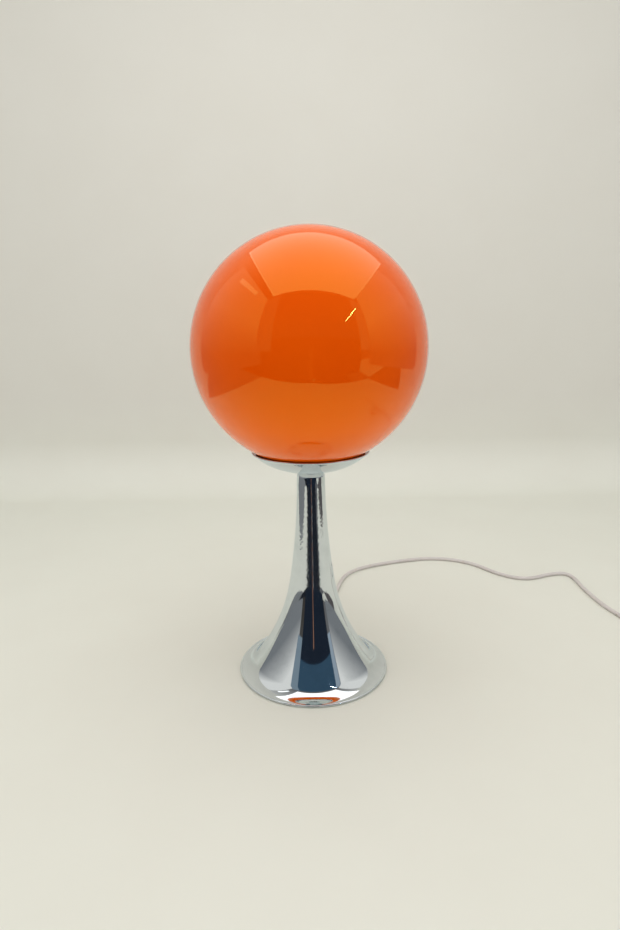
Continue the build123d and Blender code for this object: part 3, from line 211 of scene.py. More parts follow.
class Links:
    """The node tree of a material or of the world, with short ways to make its usual nodes."""

    def __init__(self, owner: Material | bpy.types.World) -> None:
        """Turn the owner's nodes on."""
        owner.use_nodes = True
        self.owner = owner
        self.tree = owner.node_tree

    def node(self, kind: str, **inputs: object) -> bpy.types.Node:
        """Make a node; inputs are values or the sockets that feed it, named with _ for spaces."""
        made = self.tree.nodes.new(kind)
        self.set(made, **inputs)
        return made

    def set(self, node: bpy.types.Node, **inputs: object) -> None:
        """Set or feed a node's sockets by name."""
        for key, value in inputs.items():
            self.feed(node.inputs[key.replace("_", " ")], value)

    def feed(self, socket: Socket, value: object) -> None:
        """Set a socket to a value, or link it to another node's socket."""
        if isinstance(value, Socket):
            self.tree.links.new(value, socket)
        else:
            socket.default_value = value

    def dressed(self, **inputs: object) -> Material:
        """Set the surface shader's sockets by name and hand the material out."""
        self.set(self.tree.nodes["Principled BSDF"], **inputs)
        return self.owner

    def place(self, stretch: Place = (1.0, 1.0, 1.0), attribute: str = "") -> Socket:
        """Coordinates: the object's own, or a named attribute's, stretched along each axis."""
        if attribute:
            source = self.node("ShaderNodeAttribute")
            source.attribute_name = attribute
            vector = source.outputs["Vector"]
        else:
            vector = self.node("ShaderNodeTexCoord").outputs["Object"]
        return self.node("ShaderNodeMapping", Vector=vector, Scale=stretch).outputs["Vector"]

    def part(self, vector: Socket, axis: str = "Z") -> Socket:
        """One of a vector's three parts."""
        return self.node("ShaderNodeSeparateXYZ", Vector=vector).outputs[axis]

    def noise(self, place: Socket, scale: float, detail: float = 2.0, rough: float = 0.5) -> Socket:
        """A noise value from 0 to 1, scale cells to a unit."""
        return self.node("ShaderNodeTexNoise", Vector=place, Scale=scale, Detail=detail,
                         Roughness=rough).outputs["Fac"]

    def ranged(self, value: Socket, low: float, high: float, to_low: float = 0.0,
               to_high: float = 1.0) -> Socket:
        """The value moved from one range into another, held at its ends."""
        return self.node("ShaderNodeMapRange", Value=value, From_Min=low, From_Max=high,
                         To_Min=to_low, To_Max=to_high).outputs["Result"]

    def cloud(self, place: Socket, cloud: Cloud, to_low: float = 0.0,
              to_high: float = 1.0) -> Socket:
        """A cloud's value, moved into a range."""
        return self.ranged(self.noise(place, cloud.scale, cloud.detail, cloud.rough),
                           cloud.low, cloud.high, to_low, to_high)

    def product(self, first: Socket, second: Socket) -> Socket:
        """Two values multiplied."""
        made = self.tree.nodes.new("ShaderNodeMath")
        made.operation = "MULTIPLY"
        self.feed(made.inputs[0], first)
        self.feed(made.inputs[1], second)
        return made.outputs["Value"]

    def blend(self, share: Socket, first: Colour | Socket, second: Colour | Socket) -> Socket:
        """A mix of two colours, each written out or taken from another node."""
        made = self.tree.nodes.new("ShaderNodeMix")
        made.data_type = "RGBA"
        self.feed(made.inputs["Factor"], share)
        for socket, colour in zip(made.inputs[6:8], (first, second)):
            self.feed(socket, colour if isinstance(colour, Socket) else (*colour, 1.0))
        return made.outputs[2]

    def relief(self, height: Socket, depth: float, under: Socket | None = None,
               strength: float = 1.0) -> Socket:
        """A bump of a real depth in metres, over another one if given."""
        made = self.node("ShaderNodeBump", Height=height, Strength=strength, Distance=depth)
        if under is not None:
            self.feed(made.inputs["Normal"], under)
        return made.outputs["Normal"]


@dataclass(frozen=True)
class Finish:
    """A finish with two near colours in soft patches, small relief and specks.

    The colour goes from light to dark by a broad noise; the roughness wanders between two values;
    the relief is a fine noise of the given cell and depth, stretched by the grain.
    """

    slot: str
    light: Colour
    dark: Colour
    smooth: float
    rough: float
    patch: float = 0.02
    cell: float = 0.0006
    depth: float = 0.00001
    grain: Grain = Grain.EVEN
    metallic: float = 0.0
    coat: float = 0.0
    transmission: float = 0.0
    sheen: float = 0.0
    speck: Colour | None = None
    speck_cell: float = 0.004
    speck_share: float = 0.27
    speck_edge: float = 0.02
    middle: Pair = (0.3, 0.7)
    wander: float = 0.35
    ring_stretch: float = 0.006
    ior: float = 1.5

    def coordinates(self, links: Links, turned_piece: bool) -> Socket:
        """Object coordinates, or the ring coordinates of a turned piece, stretched by the grain."""
        if turned_piece and self.grain is Grain.TURNED:
            return links.place((self.ring_stretch, self.ring_stretch, 1.0), "spun")
        return links.place(self.grain.value)

    def make(self, turned_piece: bool = False) -> Material:
        """Build the material.

        Args:
            turned_piece: whether the surface carries ring coordinates.

        Returns:
            The material.
        """
        links = Links(bpy.data.materials.new(self.slot + ("_turned" if turned_piece else "")))
        spot = links.place()
        fine = self.coordinates(links, turned_piece)
        patches = links.ranged(links.noise(spot, 1 / self.patch, 3.0), *self.middle)
        colour = links.blend(patches, self.light, self.dark)
        if self.speck:
            edge = 1 - self.speck_share
            specks = links.noise(spot, 1 / self.speck_cell)
            marked = links.ranged(specks, edge, edge + self.speck_edge)
            colour = links.blend(marked, colour, self.speck)
        wander = links.noise(fine, self.wander / self.cell)
        return links.dressed(
            Base_Color=colour,
            Roughness=links.ranged(wander, *self.middle, self.smooth, self.rough),
            Metallic=self.metallic,
            Coat_Weight=self.coat,
            Transmission_Weight=self.transmission,
            Sheen_Weight=self.sheen,
            IOR=self.ior,
            Normal=links.relief(links.noise(fine, 1 / self.cell, 3.0), self.depth),
        )


@dataclass(frozen=True)
class Chrome:
    """Bright plate on spun metal.

    Three reliefs lie on each other: ripples from the spinning tool, which turn about the axle and
    fade towards the foot, a slower unevenness, and hair-fine polishing rings. The colour is duller
    in hazy patches and the roughness rises in a few wiped streaks. A pattern's last stretch is in
    cells to a metre along the section, and depths are in metres.
    """

    slot: str = "polished_chrome"
    colour: Colour = (0.74, 0.78, 0.80)
    hazed: Colour = (0.66, 0.70, 0.72)
    edge: Colour = (0.86, 0.91, 0.95)
    haze: Cloud = Cloud(38.0, 4.0, 0.6, 0.52, 0.75)
    ripple: Place = (11.0, 11.0, 230.0)
    ripple_depth: float = 0.000034
    ripple_heights: Pair = (0.095, 0.125)
    uneven: Place = (1.0, 1.0, 60.0)
    uneven_depth: float = 0.000012
    rings: Place = (0.6, 0.6, 5200.0)
    ring_depth: float = 0.0000004
    wipes: Place = (9.0, 9.0, 40.0)
    wiped: Cloud = Cloud(1.0, 3.0, 0.5, 0.55, 0.8)
    roughness: Pair = (0.045, 0.095)

    def make(self) -> Material:
        """Build the material."""
        links = Links(bpy.data.materials.new(self.slot))
        spot = links.place()
        on_stem = links.ranged(links.part(spot), *self.ripple_heights)
        ripples = links.product(links.noise(links.place(self.ripple, "spun"), 1.0, 1.0), on_stem)
        relief = links.relief(ripples, self.ripple_depth)
        for stretch, depth in ((self.uneven, self.uneven_depth), (self.rings, self.ring_depth)):
            relief = links.relief(links.noise(links.place(stretch, "spun"), 1.0), depth, relief)
        wiped = links.cloud(links.place(self.wipes, "spun"), self.wiped)
        return links.dressed(
            Base_Color=links.blend(links.cloud(spot, self.haze), self.colour, self.hazed),
            Metallic=1.0,
            Specular_Tint=(*self.edge, 1.0),
            Roughness=links.ranged(wiped, 0.0, 1.0, *self.roughness),
            Normal=relief,
        )


@dataclass(frozen=True)
class OpalGlass:
    """Glossy orange opal glass, coloured through.

    The colour drifts between two oranges in broad soft clouds. It is painted paler towards the top,
    a painted highlight for light falling from above, and painted brighter below, painted light for
    the light bounced up from the table. A slow unevenness bends the reflections as blown glass does,
    and a few seeds stand in the skin.
    """

    slot: str = "orange_opal_glass"
    deep: Colour = (0.80, 0.079, 0.0005)
    warm: Colour = (0.83, 0.093, 0.0008)
    # this pale colour, with the pale heights and share below: painted highlight, the colour made
    # paler towards the top for light falling from above
    pale: Colour = (0.88, 0.115, 0.0022)
    # this bright colour and its heights below: painted light, the colour made brighter low on the
    # ball for light bounced up from the table
    painted_bounce_light: Colour = (0.98, 0.122, 0.0006)
    sheen: Colour = (1.0, 0.80, 0.13)
    drift: Cloud = Cloud(11.0, 3.0, 0.4, 0.35, 0.65)
    painted_top_light_heights: Pair = (0.43, 0.50)
    painted_top_light_share: float = 0.6
    painted_bounce_light_heights: Pair = (0.345, 0.30)
    wave_scale: float = 7.0
    wave_depth: float = 0.00012
    seeds: Cloud = Cloud(420.0, 1.0, 0.5, 0.76, 0.82)
    seed_depth: float = 0.00002
    seed_strength: float = 0.6
    smears: Cloud = Cloud(26.0, 4.0, 0.6, 0.55, 0.85)
    roughness: Pair = (0.015, 0.07)
    ior: float = 1.52

    def make(self) -> Material:
        """Build the material."""
        links = Links(bpy.data.materials.new(self.slot))
        spot = links.place()
        height = links.part(spot)
        colour = links.blend(links.cloud(spot, self.drift), self.deep, self.warm)
        # painted highlight: the colour is made paler towards the top, for light falling from above
        painted_top_light = links.ranged(height, *self.painted_top_light_heights, 0.0, self.painted_top_light_share)
        colour = links.blend(painted_top_light, colour, self.pale)
        # painted light: the colour is made brighter low on the ball, for light bounced up from the
        # table
        colour = links.blend(links.ranged(height, *self.painted_bounce_light_heights), colour, self.painted_bounce_light)
        slow = links.relief(links.noise(spot, self.wave_scale, 1.0), self.wave_depth)
        return links.dressed(
            Base_Color=colour,
            Roughness=links.cloud(spot, self.smears, *self.roughness),
            IOR=self.ior,
            Specular_IOR_Level=1.0,
            Specular_Tint=(*self.sheen, 1.0),
            Normal=links.relief(links.cloud(spot, self.seeds), self.seed_depth, slow,
                                self.seed_strength),
        )


AnyFinish = Finish | Chrome | OpalGlass

ZINC = Finish("zinced_steel", (0.62, 0.62, 0.60), (0.50, 0.51, 0.52), 0.22, 0.38, 0.012, 0.0008,
    0.000008, metallic=1.0, speck=(0.35, 0.34, 0.30), speck_share=0.28)
IRON = Finish("cast_iron", (0.13, 0.13, 0.13), (0.07, 0.07, 0.075), 0.55, 0.8, 0.01, 0.0012,
    0.00012, metallic=0.6, speck=(0.16, 0.09, 0.05), speck_share=0.3)
BRASS = Finish("turned_brass", (0.74, 0.55, 0.24), (0.60, 0.42, 0.16), 0.16, 0.3, 0.006, 0.0003,
    0.000006, Grain.TURNED, metallic=1.0, speck=(0.3, 0.19, 0.08))
NICKEL = Finish("nickel", (0.72, 0.70, 0.66), (0.60, 0.58, 0.55), 0.14, 0.28, 0.006, 0.0003,
    0.000005, Grain.TURNED, metallic=1.0, speck=(0.4, 0.38, 0.35))
TUNGSTEN = Finish("tungsten", (0.30, 0.30, 0.32), (0.2, 0.2, 0.22), 0.4, 0.6, 0.002, 0.0001,
    0.000004, Grain.DRAWN, metallic=1.0)
FELT = Finish("grey_felt", (0.24, 0.24, 0.25), (0.17, 0.17, 0.18), 0.95, 1.0, 0.006, 0.0005, 0.0003,
    sheen=0.5, speck=(0.42, 0.41, 0.40), speck_cell=0.0008, speck_share=0.36)
BLACK_RUBBER = Finish("black_rubber", (0.035, 0.035, 0.036), (0.022, 0.022, 0.023), 0.55, 0.75,
    0.01, 0.0004, 0.00002, speck=(0.12, 0.12, 0.12), speck_cell=0.0012)
PALE_RUBBER = Finish("pale_rubber", (0.70, 0.67, 0.60), (0.63, 0.60, 0.53), 0.42, 0.6, 0.008,
    0.0004, 0.000015, speck=(0.50, 0.46, 0.39), speck_cell=0.002, speck_share=0.28)
PHENOLIC = Finish("phenolic", (0.032, 0.029, 0.027), (0.018, 0.016, 0.015), 0.22, 0.36, 0.01,
    0.0004, 0.00001, speck=(0.09, 0.07, 0.05), speck_cell=0.0012, speck_share=0.29, coat=0.2)
BLACK_PLASTIC = Finish("black_plastic", (0.035, 0.035, 0.036), (0.025, 0.025, 0.026), 0.4, 0.55,
    0.01, 0.0004, 0.00001, speck=(0.09, 0.09, 0.09), speck_cell=0.001)
SWITCH_PLASTIC = Finish("switch_plastic", (0.76, 0.73, 0.66), (0.70, 0.67, 0.59), 0.24, 0.4, 0.012,
    0.0005, 0.000012, speck=(0.52, 0.47, 0.38), speck_cell=0.003, coat=0.15)
CORD_SHEATH = Finish("cord_sheath", (0.63, 0.59, 0.57), (0.57, 0.53, 0.51), 0.34, 0.5, 0.02, 0.0007,
    0.00003, speck=(0.50, 0.44, 0.36), speck_cell=0.006, speck_share=0.3)
CORE_SHEATH = Finish("core_sheath", (0.10, 0.22, 0.50), (0.08, 0.17, 0.40), 0.35, 0.5, 0.01, 0.0005,
    0.00001, speck=(0.2, 0.3, 0.5), speck_cell=0.001)
CERAMIC = Finish("white_ceramic", (0.80, 0.79, 0.75), (0.74, 0.72, 0.67), 0.14, 0.3, 0.01, 0.0006,
    0.00002, speck=(0.5, 0.44, 0.36), speck_cell=0.0012, speck_share=0.26, coat=0.4)
VITRITE = Finish("black_glass", (0.035, 0.028, 0.045), (0.02, 0.016, 0.028), 0.08, 0.2, 0.006,
    0.0006, 0.00002, coat=0.5, speck=(0.12, 0.10, 0.14), speck_cell=0.001, speck_share=0.25)
FROSTED = Finish("frosted_glass", (0.88, 0.87, 0.84), (0.82, 0.81, 0.78), 0.16, 0.26, 0.015, 0.0006,
    0.000008, transmission=0.35, ior=1.45)
CLEAR = Finish("clear_glass", (0.92, 0.94, 0.93), (0.88, 0.91, 0.90), 0.03, 0.08, 0.01, 0.001,
    0.00001, transmission=0.9, ior=1.5)


class Wardrobe:
    """Makes each finish once and hands its material out."""

    def __init__(self) -> None:
        """Start with nothing made."""
        self.made: dict[tuple[str, bool], Material] = {}

    def pick(self, finish: AnyFinish, turned_piece: bool = False) -> Material:
        """The material of a finish, made the first time it is asked for.

        Args:
            finish: the finish.
            turned_piece: whether the piece carries ring coordinates.

        Returns:
            The material.
        """
        plain = isinstance(finish, Finish)
        key = (finish.slot, turned_piece and plain)
        if key not in self.made:
            self.made[key] = finish.make(turned_piece) if plain else finish.make()
        return self.made[key]


# ------------ pieces
@dataclass
class Assembly:
    """What the lamp's sub-assemblies share: making pieces and dressing the solids that stay."""

    wardrobe: Wardrobe
    body: str = "lamp"
    sharp_above: float = 32.0

    def piece(self, name: str, section: Array, finish: AnyFinish, node: str, segments: int,
              closed: bool = True, axle: Axle = Axle()) -> None:
        """Turn a section into a piece that stands for a solid and rides the assembly's body.

        Args:
            name: the piece's name.
            section: its half section, in millimetres.
            finish: its finish.
            node: the solid it stands for.
            segments: how many steps go round.
            closed: whether the section's last point joins the first one.
            axle: the line it is turned about.
        """
        form = turned(section * MM, closed, axle, segments)
        mesh = bpy.data.meshes.new(name)
        mesh.from_pydata(form.vertices.tolist(), [], form.quads.tolist() + form.triangles.tolist())
        ring = mesh.attributes.new("spun", "FLOAT_VECTOR", "POINT")
        ring.data.foreach_set("vector", form.spun.astype(np.float32).ravel())
        mesh.shade_smooth()
        mesh.set_sharp_from_angle(angle=math.radians(self.sharp_above))
        mesh.materials.append(self.wardrobe.pick(finish, True))
        made = placed(name, mesh)
        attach(made, self.body)
        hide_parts(node)
        log.info("piece %s: %d faces, stands for %s", name, len(mesh.polygons), node)

    def dress(self, finish: AnyFinish, *nodes: str) -> None:
        """Give solids that stay as they are their finish."""
        material = self.wardrobe.pick(finish)
        for node in nodes:
            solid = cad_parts[node]
            if not solid.material_slots:
                solid.data.materials.append(material)
            for held in solid.material_slots:
                held.material = material
            log.info("solid %s: %s", node, finish.slot)


@dataclass
class Trumpet(Assembly):
    """The chromed stem and foot: one spun shell, its bush and nut, weight, plates and felt."""

    foot_radius: float = 87.25
    stem_radius: float = 15.55
    tip_radius: float = 10.0
    seat: float = 240.8
    tip_height: float = 5.7
    shoulder_round: float = 2.5
    collar: float = 12.0
    slopes: tuple[float, float, float, float] = (1.2, 9.0, 38.0, 79.5)
    skirt_arc: float = 27.9
    wall: float = 1.0
    bead: float = 1.25
    tuck: Pair = (0.6, 0.5)
    hem: float = 10.0
    hem_height: float = 0.6
    bore: float = 4.95
    tip_round: float = 0.5
    inner_step: Pair = (0.4, 0.35)
    inner_foot: float = 0.3
    steps: tuple[int, int, int] = (46, 52, 40)

    def arcs(self) -> list[tuple[Array, float, float, float]]:
        """Centre, radius and slopes of the outline's three arcs, from the stem down.

        A slope s is in degrees from straight down; an arc's point there is its centre minus its
        radius times (cos s, sin s). The two upper radii solve the pair of sums that carry the
        outline from the collar's end to the lip: outwards and down.
        """
        s = np.radians(self.slopes)
        lip = np.array([self.foot_radius - self.bead - self.tuck[0],
                        self.hem_height + self.bead + self.tuck[1]])
        top = np.array([self.stem_radius + self.collar * math.sin(s[0]),
                        self.seat - self.tip_height - self.collar * math.cos(s[0])])
        out, down = -np.diff(np.cos(s)), np.diff(np.sin(s))
        left = np.array([lip[0] - top[0] - self.skirt_arc * out[2],
                         top[1] - lip[1] - self.skirt_arc * down[2]])
        long_radii = np.linalg.solve(np.array([out[:2], down[:2]]), left)
        radii, made, point = [*long_radii, self.skirt_arc], [], top
        for k, radius in enumerate(radii):
            centre = point + radius * np.array([math.cos(s[k]), math.sin(s[k])])
            made.append((centre, float(radius), self.slopes[k], self.slopes[k + 1]))
            point = centre - radius * np.array([math.cos(s[k + 1]), math.sin(s[k + 1])])
        return made

    def flank(self, inset: float) -> Array:
        """The three arcs from the collar down, moved into the wall by the inset."""
        runs = [
            arc(tuple(centre), radius + inset, 180 + start, 180 + end, count)
            for (centre, radius, start, end), count in zip(self.arcs(), self.steps)
        ]
        return np.vstack([runs[0], runs[1][1:], runs[2][1:]])

    def section(self) -> Array:
        """The shell's whole section, anticlockwise from the hem's inner edge, in millimetres."""
        middle = np.array([self.foot_radius - self.bead, self.hem_height + self.bead])
        outer, inner = self.flank(0.0)[::-1], self.flank(self.wall)
        outer = outer[np.linalg.norm(outer - middle, axis=1) > self.bead]
        meet = math.degrees(math.atan2(outer[0, 1] - middle[1], outer[0, 0] - middle[0]))
        lip = arc(tuple(middle), self.bead, -90, meet, 30)
        shoulder = self.seat - self.tip_height
        under, (step_in, step_down) = self.seat - self.wall, self.inner_step
        top = softened([
            (*outer[-1], 0), (self.stem_radius, shoulder, self.shoulder_round),
            (self.tip_radius, self.seat, self.tip_round), (self.bore, self.seat, 0),
            (self.bore, under, 0), (self.tip_radius - step_in, under, 0),
            (self.stem_radius - self.wall, shoulder - step_down, self.shoulder_round - self.wall),
            (*inner[0], 0),
        ], closed=False)
        hem_top = self.hem_height + self.wall
        inner = inner[1:][inner[1:, 1] > hem_top]
        hem_in = middle[0] - self.hem
        return np.vstack([
            [[hem_in, self.hem_height]], lip[:-1], outer[:-1], top, inner,
            [[inner[-1, 0] + self.inner_foot, hem_top], [hem_in, hem_top]],
        ])

    def build(self) -> None:
        """Make the shell and dress what it holds."""
        self.piece("trumpet_skin", self.section(), Chrome(), "trumpet_shell", FINE)
        self.dress(FELT, "felt_pad")
        self.dress(IRON, "base_weight")
        self.dress(BRASS, "stem_bush")
        self.dress(ZINC, "base_plate", "weight_bridge", "bridge_screws", "rod_locknut",
                   "center_rod", "stem_nut", "cord_clamp", "clamp_screws")


@dataclass
class Gallery(Assembly):
    """The chromed dish under the ball, with the pan, the nut and washer, and the rubber ring."""

    seat: float = 240.8
    flat: float = 12.0
    sweep: float = 76.5
    wall: float = 1.0
    bead_middle: float = 64.4
    bead: float = 0.9
    bore: float = 4.95

    def section(self) -> Array:
        """The dish's section, anticlockwise from its bore, in millimetres."""
        centre = (self.flat, self.seat + self.sweep)
        middle_radius = self.sweep - self.wall / 2
        reach = math.degrees(math.asin((self.bead_middle - self.flat) / middle_radius))
        middle = np.array([self.bead_middle,
                           centre[1] - middle_radius * math.cos(math.radians(reach))])
        under = arc(centre, self.sweep, -90, -90 + reach, 64)
        inside = arc(centre, self.sweep - self.wall, -90 + reach, -90, 64)
        under = under[np.linalg.norm(under - middle, axis=1) > self.bead]
        inside = inside[np.linalg.norm(inside - middle, axis=1) > self.bead]
        angles = [math.degrees(math.atan2(*(p - middle)[::-1])) for p in (under[-1], inside[0])]
        rim = arc(tuple(middle), self.bead, angles[0], angles[1] % 360, 24)
        return np.vstack([
            [[self.bore, self.seat]], under, rim[1:-1], inside,
            [[self.bore, self.seat + self.wall]],
        ])

    def build(self) -> None:
        """Make the dish and dress what lies in it."""
        self.piece("dish_skin", self.section(), Chrome(), "gallery_dish", FINE)
        self.dress(ZINC, "centring_pan", "gallery_washer")
        self.dress(BRASS, "gallery_nut")
        self.dress(BLACK_RUBBER, "globe_seat_ring")


@dataclass
class Ball(Assembly):
    """The opal glass ball, blown with one wall and a short ground neck."""

    body: str = "globe"
    radius: float = 125.0
    wall: float = 2.4
    middle: float = 371.95
    neck: float = 42.0
    mouth_end: float = 249.42
    edge_round: float = 0.9
    root_round: float = 1.5

    def section(self) -> Array:
        """From the inner pole down the inside, round the mouth's edge and up the outside."""
        bore = self.neck - self.wall
        inner = self.radius - self.wall
        start = math.degrees(math.asin(self.neck / self.radius))
        inner_start = math.degrees(math.asin(bore / inner))
        inside = arc((0.0, self.middle), inner, 90, -90 + inner_start, 130)
        outside = arc((0.0, self.middle), self.radius, -90 + start, 90, 160)
        inside[0, 0] = outside[-1, 0] = 0.0
        rim = softened([
            (bore, inside[-1, 1], 0), (bore, self.mouth_end, self.edge_round),
            (self.neck, self.mouth_end, self.edge_round),
            (*outside[0], self.root_round), (*outside[2], 0),
        ], closed=False)
        return np.vstack([inside[:-1], rim[:-1], outside[2:]])

    def build(self) -> None:
        """Make the ball."""
        self.piece("ball_glass", self.section(), OpalGlass(), "glass_globe", FINE, closed=False)


@dataclass
class Holder(Assembly):
    """The lampholder: cap, skirt and screw shell turned anew, the rest dressed."""

    foot: float = 248.8
    bore: float = 4.95
    boss: Pair = (7.5, 3.2)
    cone: float = 9.0
    radius: float = 19.8
    wall: float = 2.0
    floor: float = 10.0
    bevel: float = 3.0
    cap_height: float = 27.2
    shoulder_round: float = 3.0
    skirt_height: float = 27.0
    mouth: float = 15.0
    rim_round: float = 1.5
    seam: float = 0.35
    shell_foot: float = 277.0
    shell_crest: float = 14.35
    shell_wall: float = 0.4
    pitch: float = 3.6
    depth: float = 0.55
    shell_turns: int = 6
    boss_rounds: Pair = (0.4, 0.6)
    grooves: Pair = (5.0, 8.0)
    groove: tuple[float, float, float] = (0.5, 0.4, 1.0)
    groove_round: float = 0.2
    mouth_round: float = 0.6

    def cap(self) -> Array:
        """The cap's section; its edge at the skirt is eased, so that the two read as two."""
        top, inner = self.foot + self.cap_height, self.radius - self.wall
        shoulder = self.foot + self.boss[1] + self.cone
        return softened([
            (self.bore, self.foot, 0), (self.boss[0], self.foot, self.boss_rounds[0]),
            (self.boss[0], self.foot + self.boss[1], self.boss_rounds[1]),
            (self.radius, shoulder, self.shoulder_round), (self.radius, top, self.seam),
            (inner, top, 0), (inner, self.foot + self.floor + self.bevel, 0),
            (inner - self.bevel, self.foot + self.floor, 0), (self.bore, self.foot + self.floor, 0),
        ])

    def skirt(self) -> Array:
        """The skirt's section, with two shallow grip grooves round it."""
        low, inner = self.foot + self.cap_height, self.radius - self.wall
        top = low + self.skirt_height
        depth, taper, width = self.groove
        outline = ((0.0, 0.0), (depth, taper), (depth, width), (0.0, width + taper))
        grooves = [(self.radius - inset, low + at + rise, self.groove_round)
                   for at in self.grooves for inset, rise in outline]
        return softened([
            (inner, low, 0), (self.radius, low, self.seam), *grooves,
            (self.radius, top, self.rim_round), (self.mouth, top, self.mouth_round),
            (self.mouth, top - self.wall, 0), (inner, top - self.wall, 0),
        ])

    def thread(self) -> Array:
        """The screw shell: outside and inside are the same wave of rings, one wall apart."""
        return waved_sleeve(self.shell_crest, self.depth, self.shell_foot, self.pitch,
                            self.shell_turns, self.shell_wall)

    def build(self) -> None:
        """Make the turned parts and dress the others."""
        self.piece("holder_cap_skin", self.cap(), PHENOLIC, "holder_cap", MIDDLE)
        self.piece("holder_skirt_skin", self.skirt(), PHENOLIC, "holder_skirt", MIDDLE)
        self.piece("holder_thread", self.thread(), BRASS, "holder_screw_shell", COARSE)
        self.dress(CERAMIC, "holder_insert")
        self.dress(BRASS, "holder_contact", "terminal_blocks")
        self.dress(ZINC, "terminal_screws")
        self.dress(CORE_SHEATH, "holder_wires")
        self.dress(CORD_SHEATH, "cord_inner")


def waved_sleeve(crest: float, depth: float, foot: float, pitch: float, turns: int,
                 wall: float) -> Array:
    """Section of a sleeve with ring ridges.

    The outside is crest - depth / 2 + depth / 2 * sin(2 pi h / pitch) at the height h; the inside
    is the same wave one wall further in.

    Args:
        crest: the outside's largest radius.
        depth: from crest to root.
        foot: height of its lower edge.
        pitch: height of one ridge.
        turns: how many ridges there are.
        wall: thickness.

    Returns:
        The closed section.
    """
    h = np.linspace(0.0, pitch * turns, 10 * turns + 1)
    r = crest - depth / 2 + depth / 2 * np.sin(2 * math.pi * h / pitch)
    outside = np.stack([r, foot + h], axis=-1)
    inside = np.stack([r - wall, foot + h], axis=-1)[::-1]
    return np.vstack([outside, inside])


@dataclass
class Bulb(Assembly):
    """The bulb: frosted envelope and threaded cap turned anew, the rest dressed."""

    body: str = "bulb"
    tip: float = 280.4
    cap_base: float = 5.4
    cap_crest: float = 13.1
    cap_wall: float = 0.35
    cap_turns: int = 5
    pitch: float = 3.6
    depth: float = 0.55
    radius: float = 30.0
    length: float = 105.0
    wall: float = 0.9
    neck: float = 12.0
    throat: float = 30.0
    neck_in_cap: float = 6.0

    def envelope(self) -> Array:
        """From the inner pole down the inside of the ball, throat and neck, and up the outside."""
        middle = self.tip + self.length - self.radius
        reach, across = self.radius + self.throat, self.neck + self.throat
        throat_z = middle - math.sqrt(reach**2 - across**2)
        lean = math.degrees(math.atan2(middle - throat_z, across))
        foot = self.tip + self.cap_base + self.cap_turns * self.pitch - self.neck_in_cap

        def side(inset: float) -> Array:
            """One surface from its foot to its pole."""
            throat = arc((across, throat_z), self.throat + inset, 180, 180 - lean, 14)
            ball = arc((0.0, middle), self.radius - inset, -lean, 90, 60)
            ball[-1, 0] = 0.0
            return np.vstack([[[self.neck - inset, foot]], throat, ball[1:]])

        return np.vstack([side(self.wall)[::-1], side(0.0)])

    def build(self) -> None:
        """Make the envelope and cap and dress the others."""
        foot = self.tip + self.cap_base
        cap = waved_sleeve(self.cap_crest, self.depth, foot, self.pitch, self.cap_turns,
                           self.cap_wall)
        self.piece("bulb_glass", self.envelope(), FROSTED, "bulb_envelope", COARSE, closed=False)
        self.piece("bulb_thread", cap, NICKEL, "bulb_cap", COARSE)
        self.dress(CLEAR, "bulb_stem")
        self.dress(TUNGSTEN, "bulb_filament")
        self.dress(NICKEL, "bulb_contact")
        self.dress(VITRITE, "bulb_insulator")


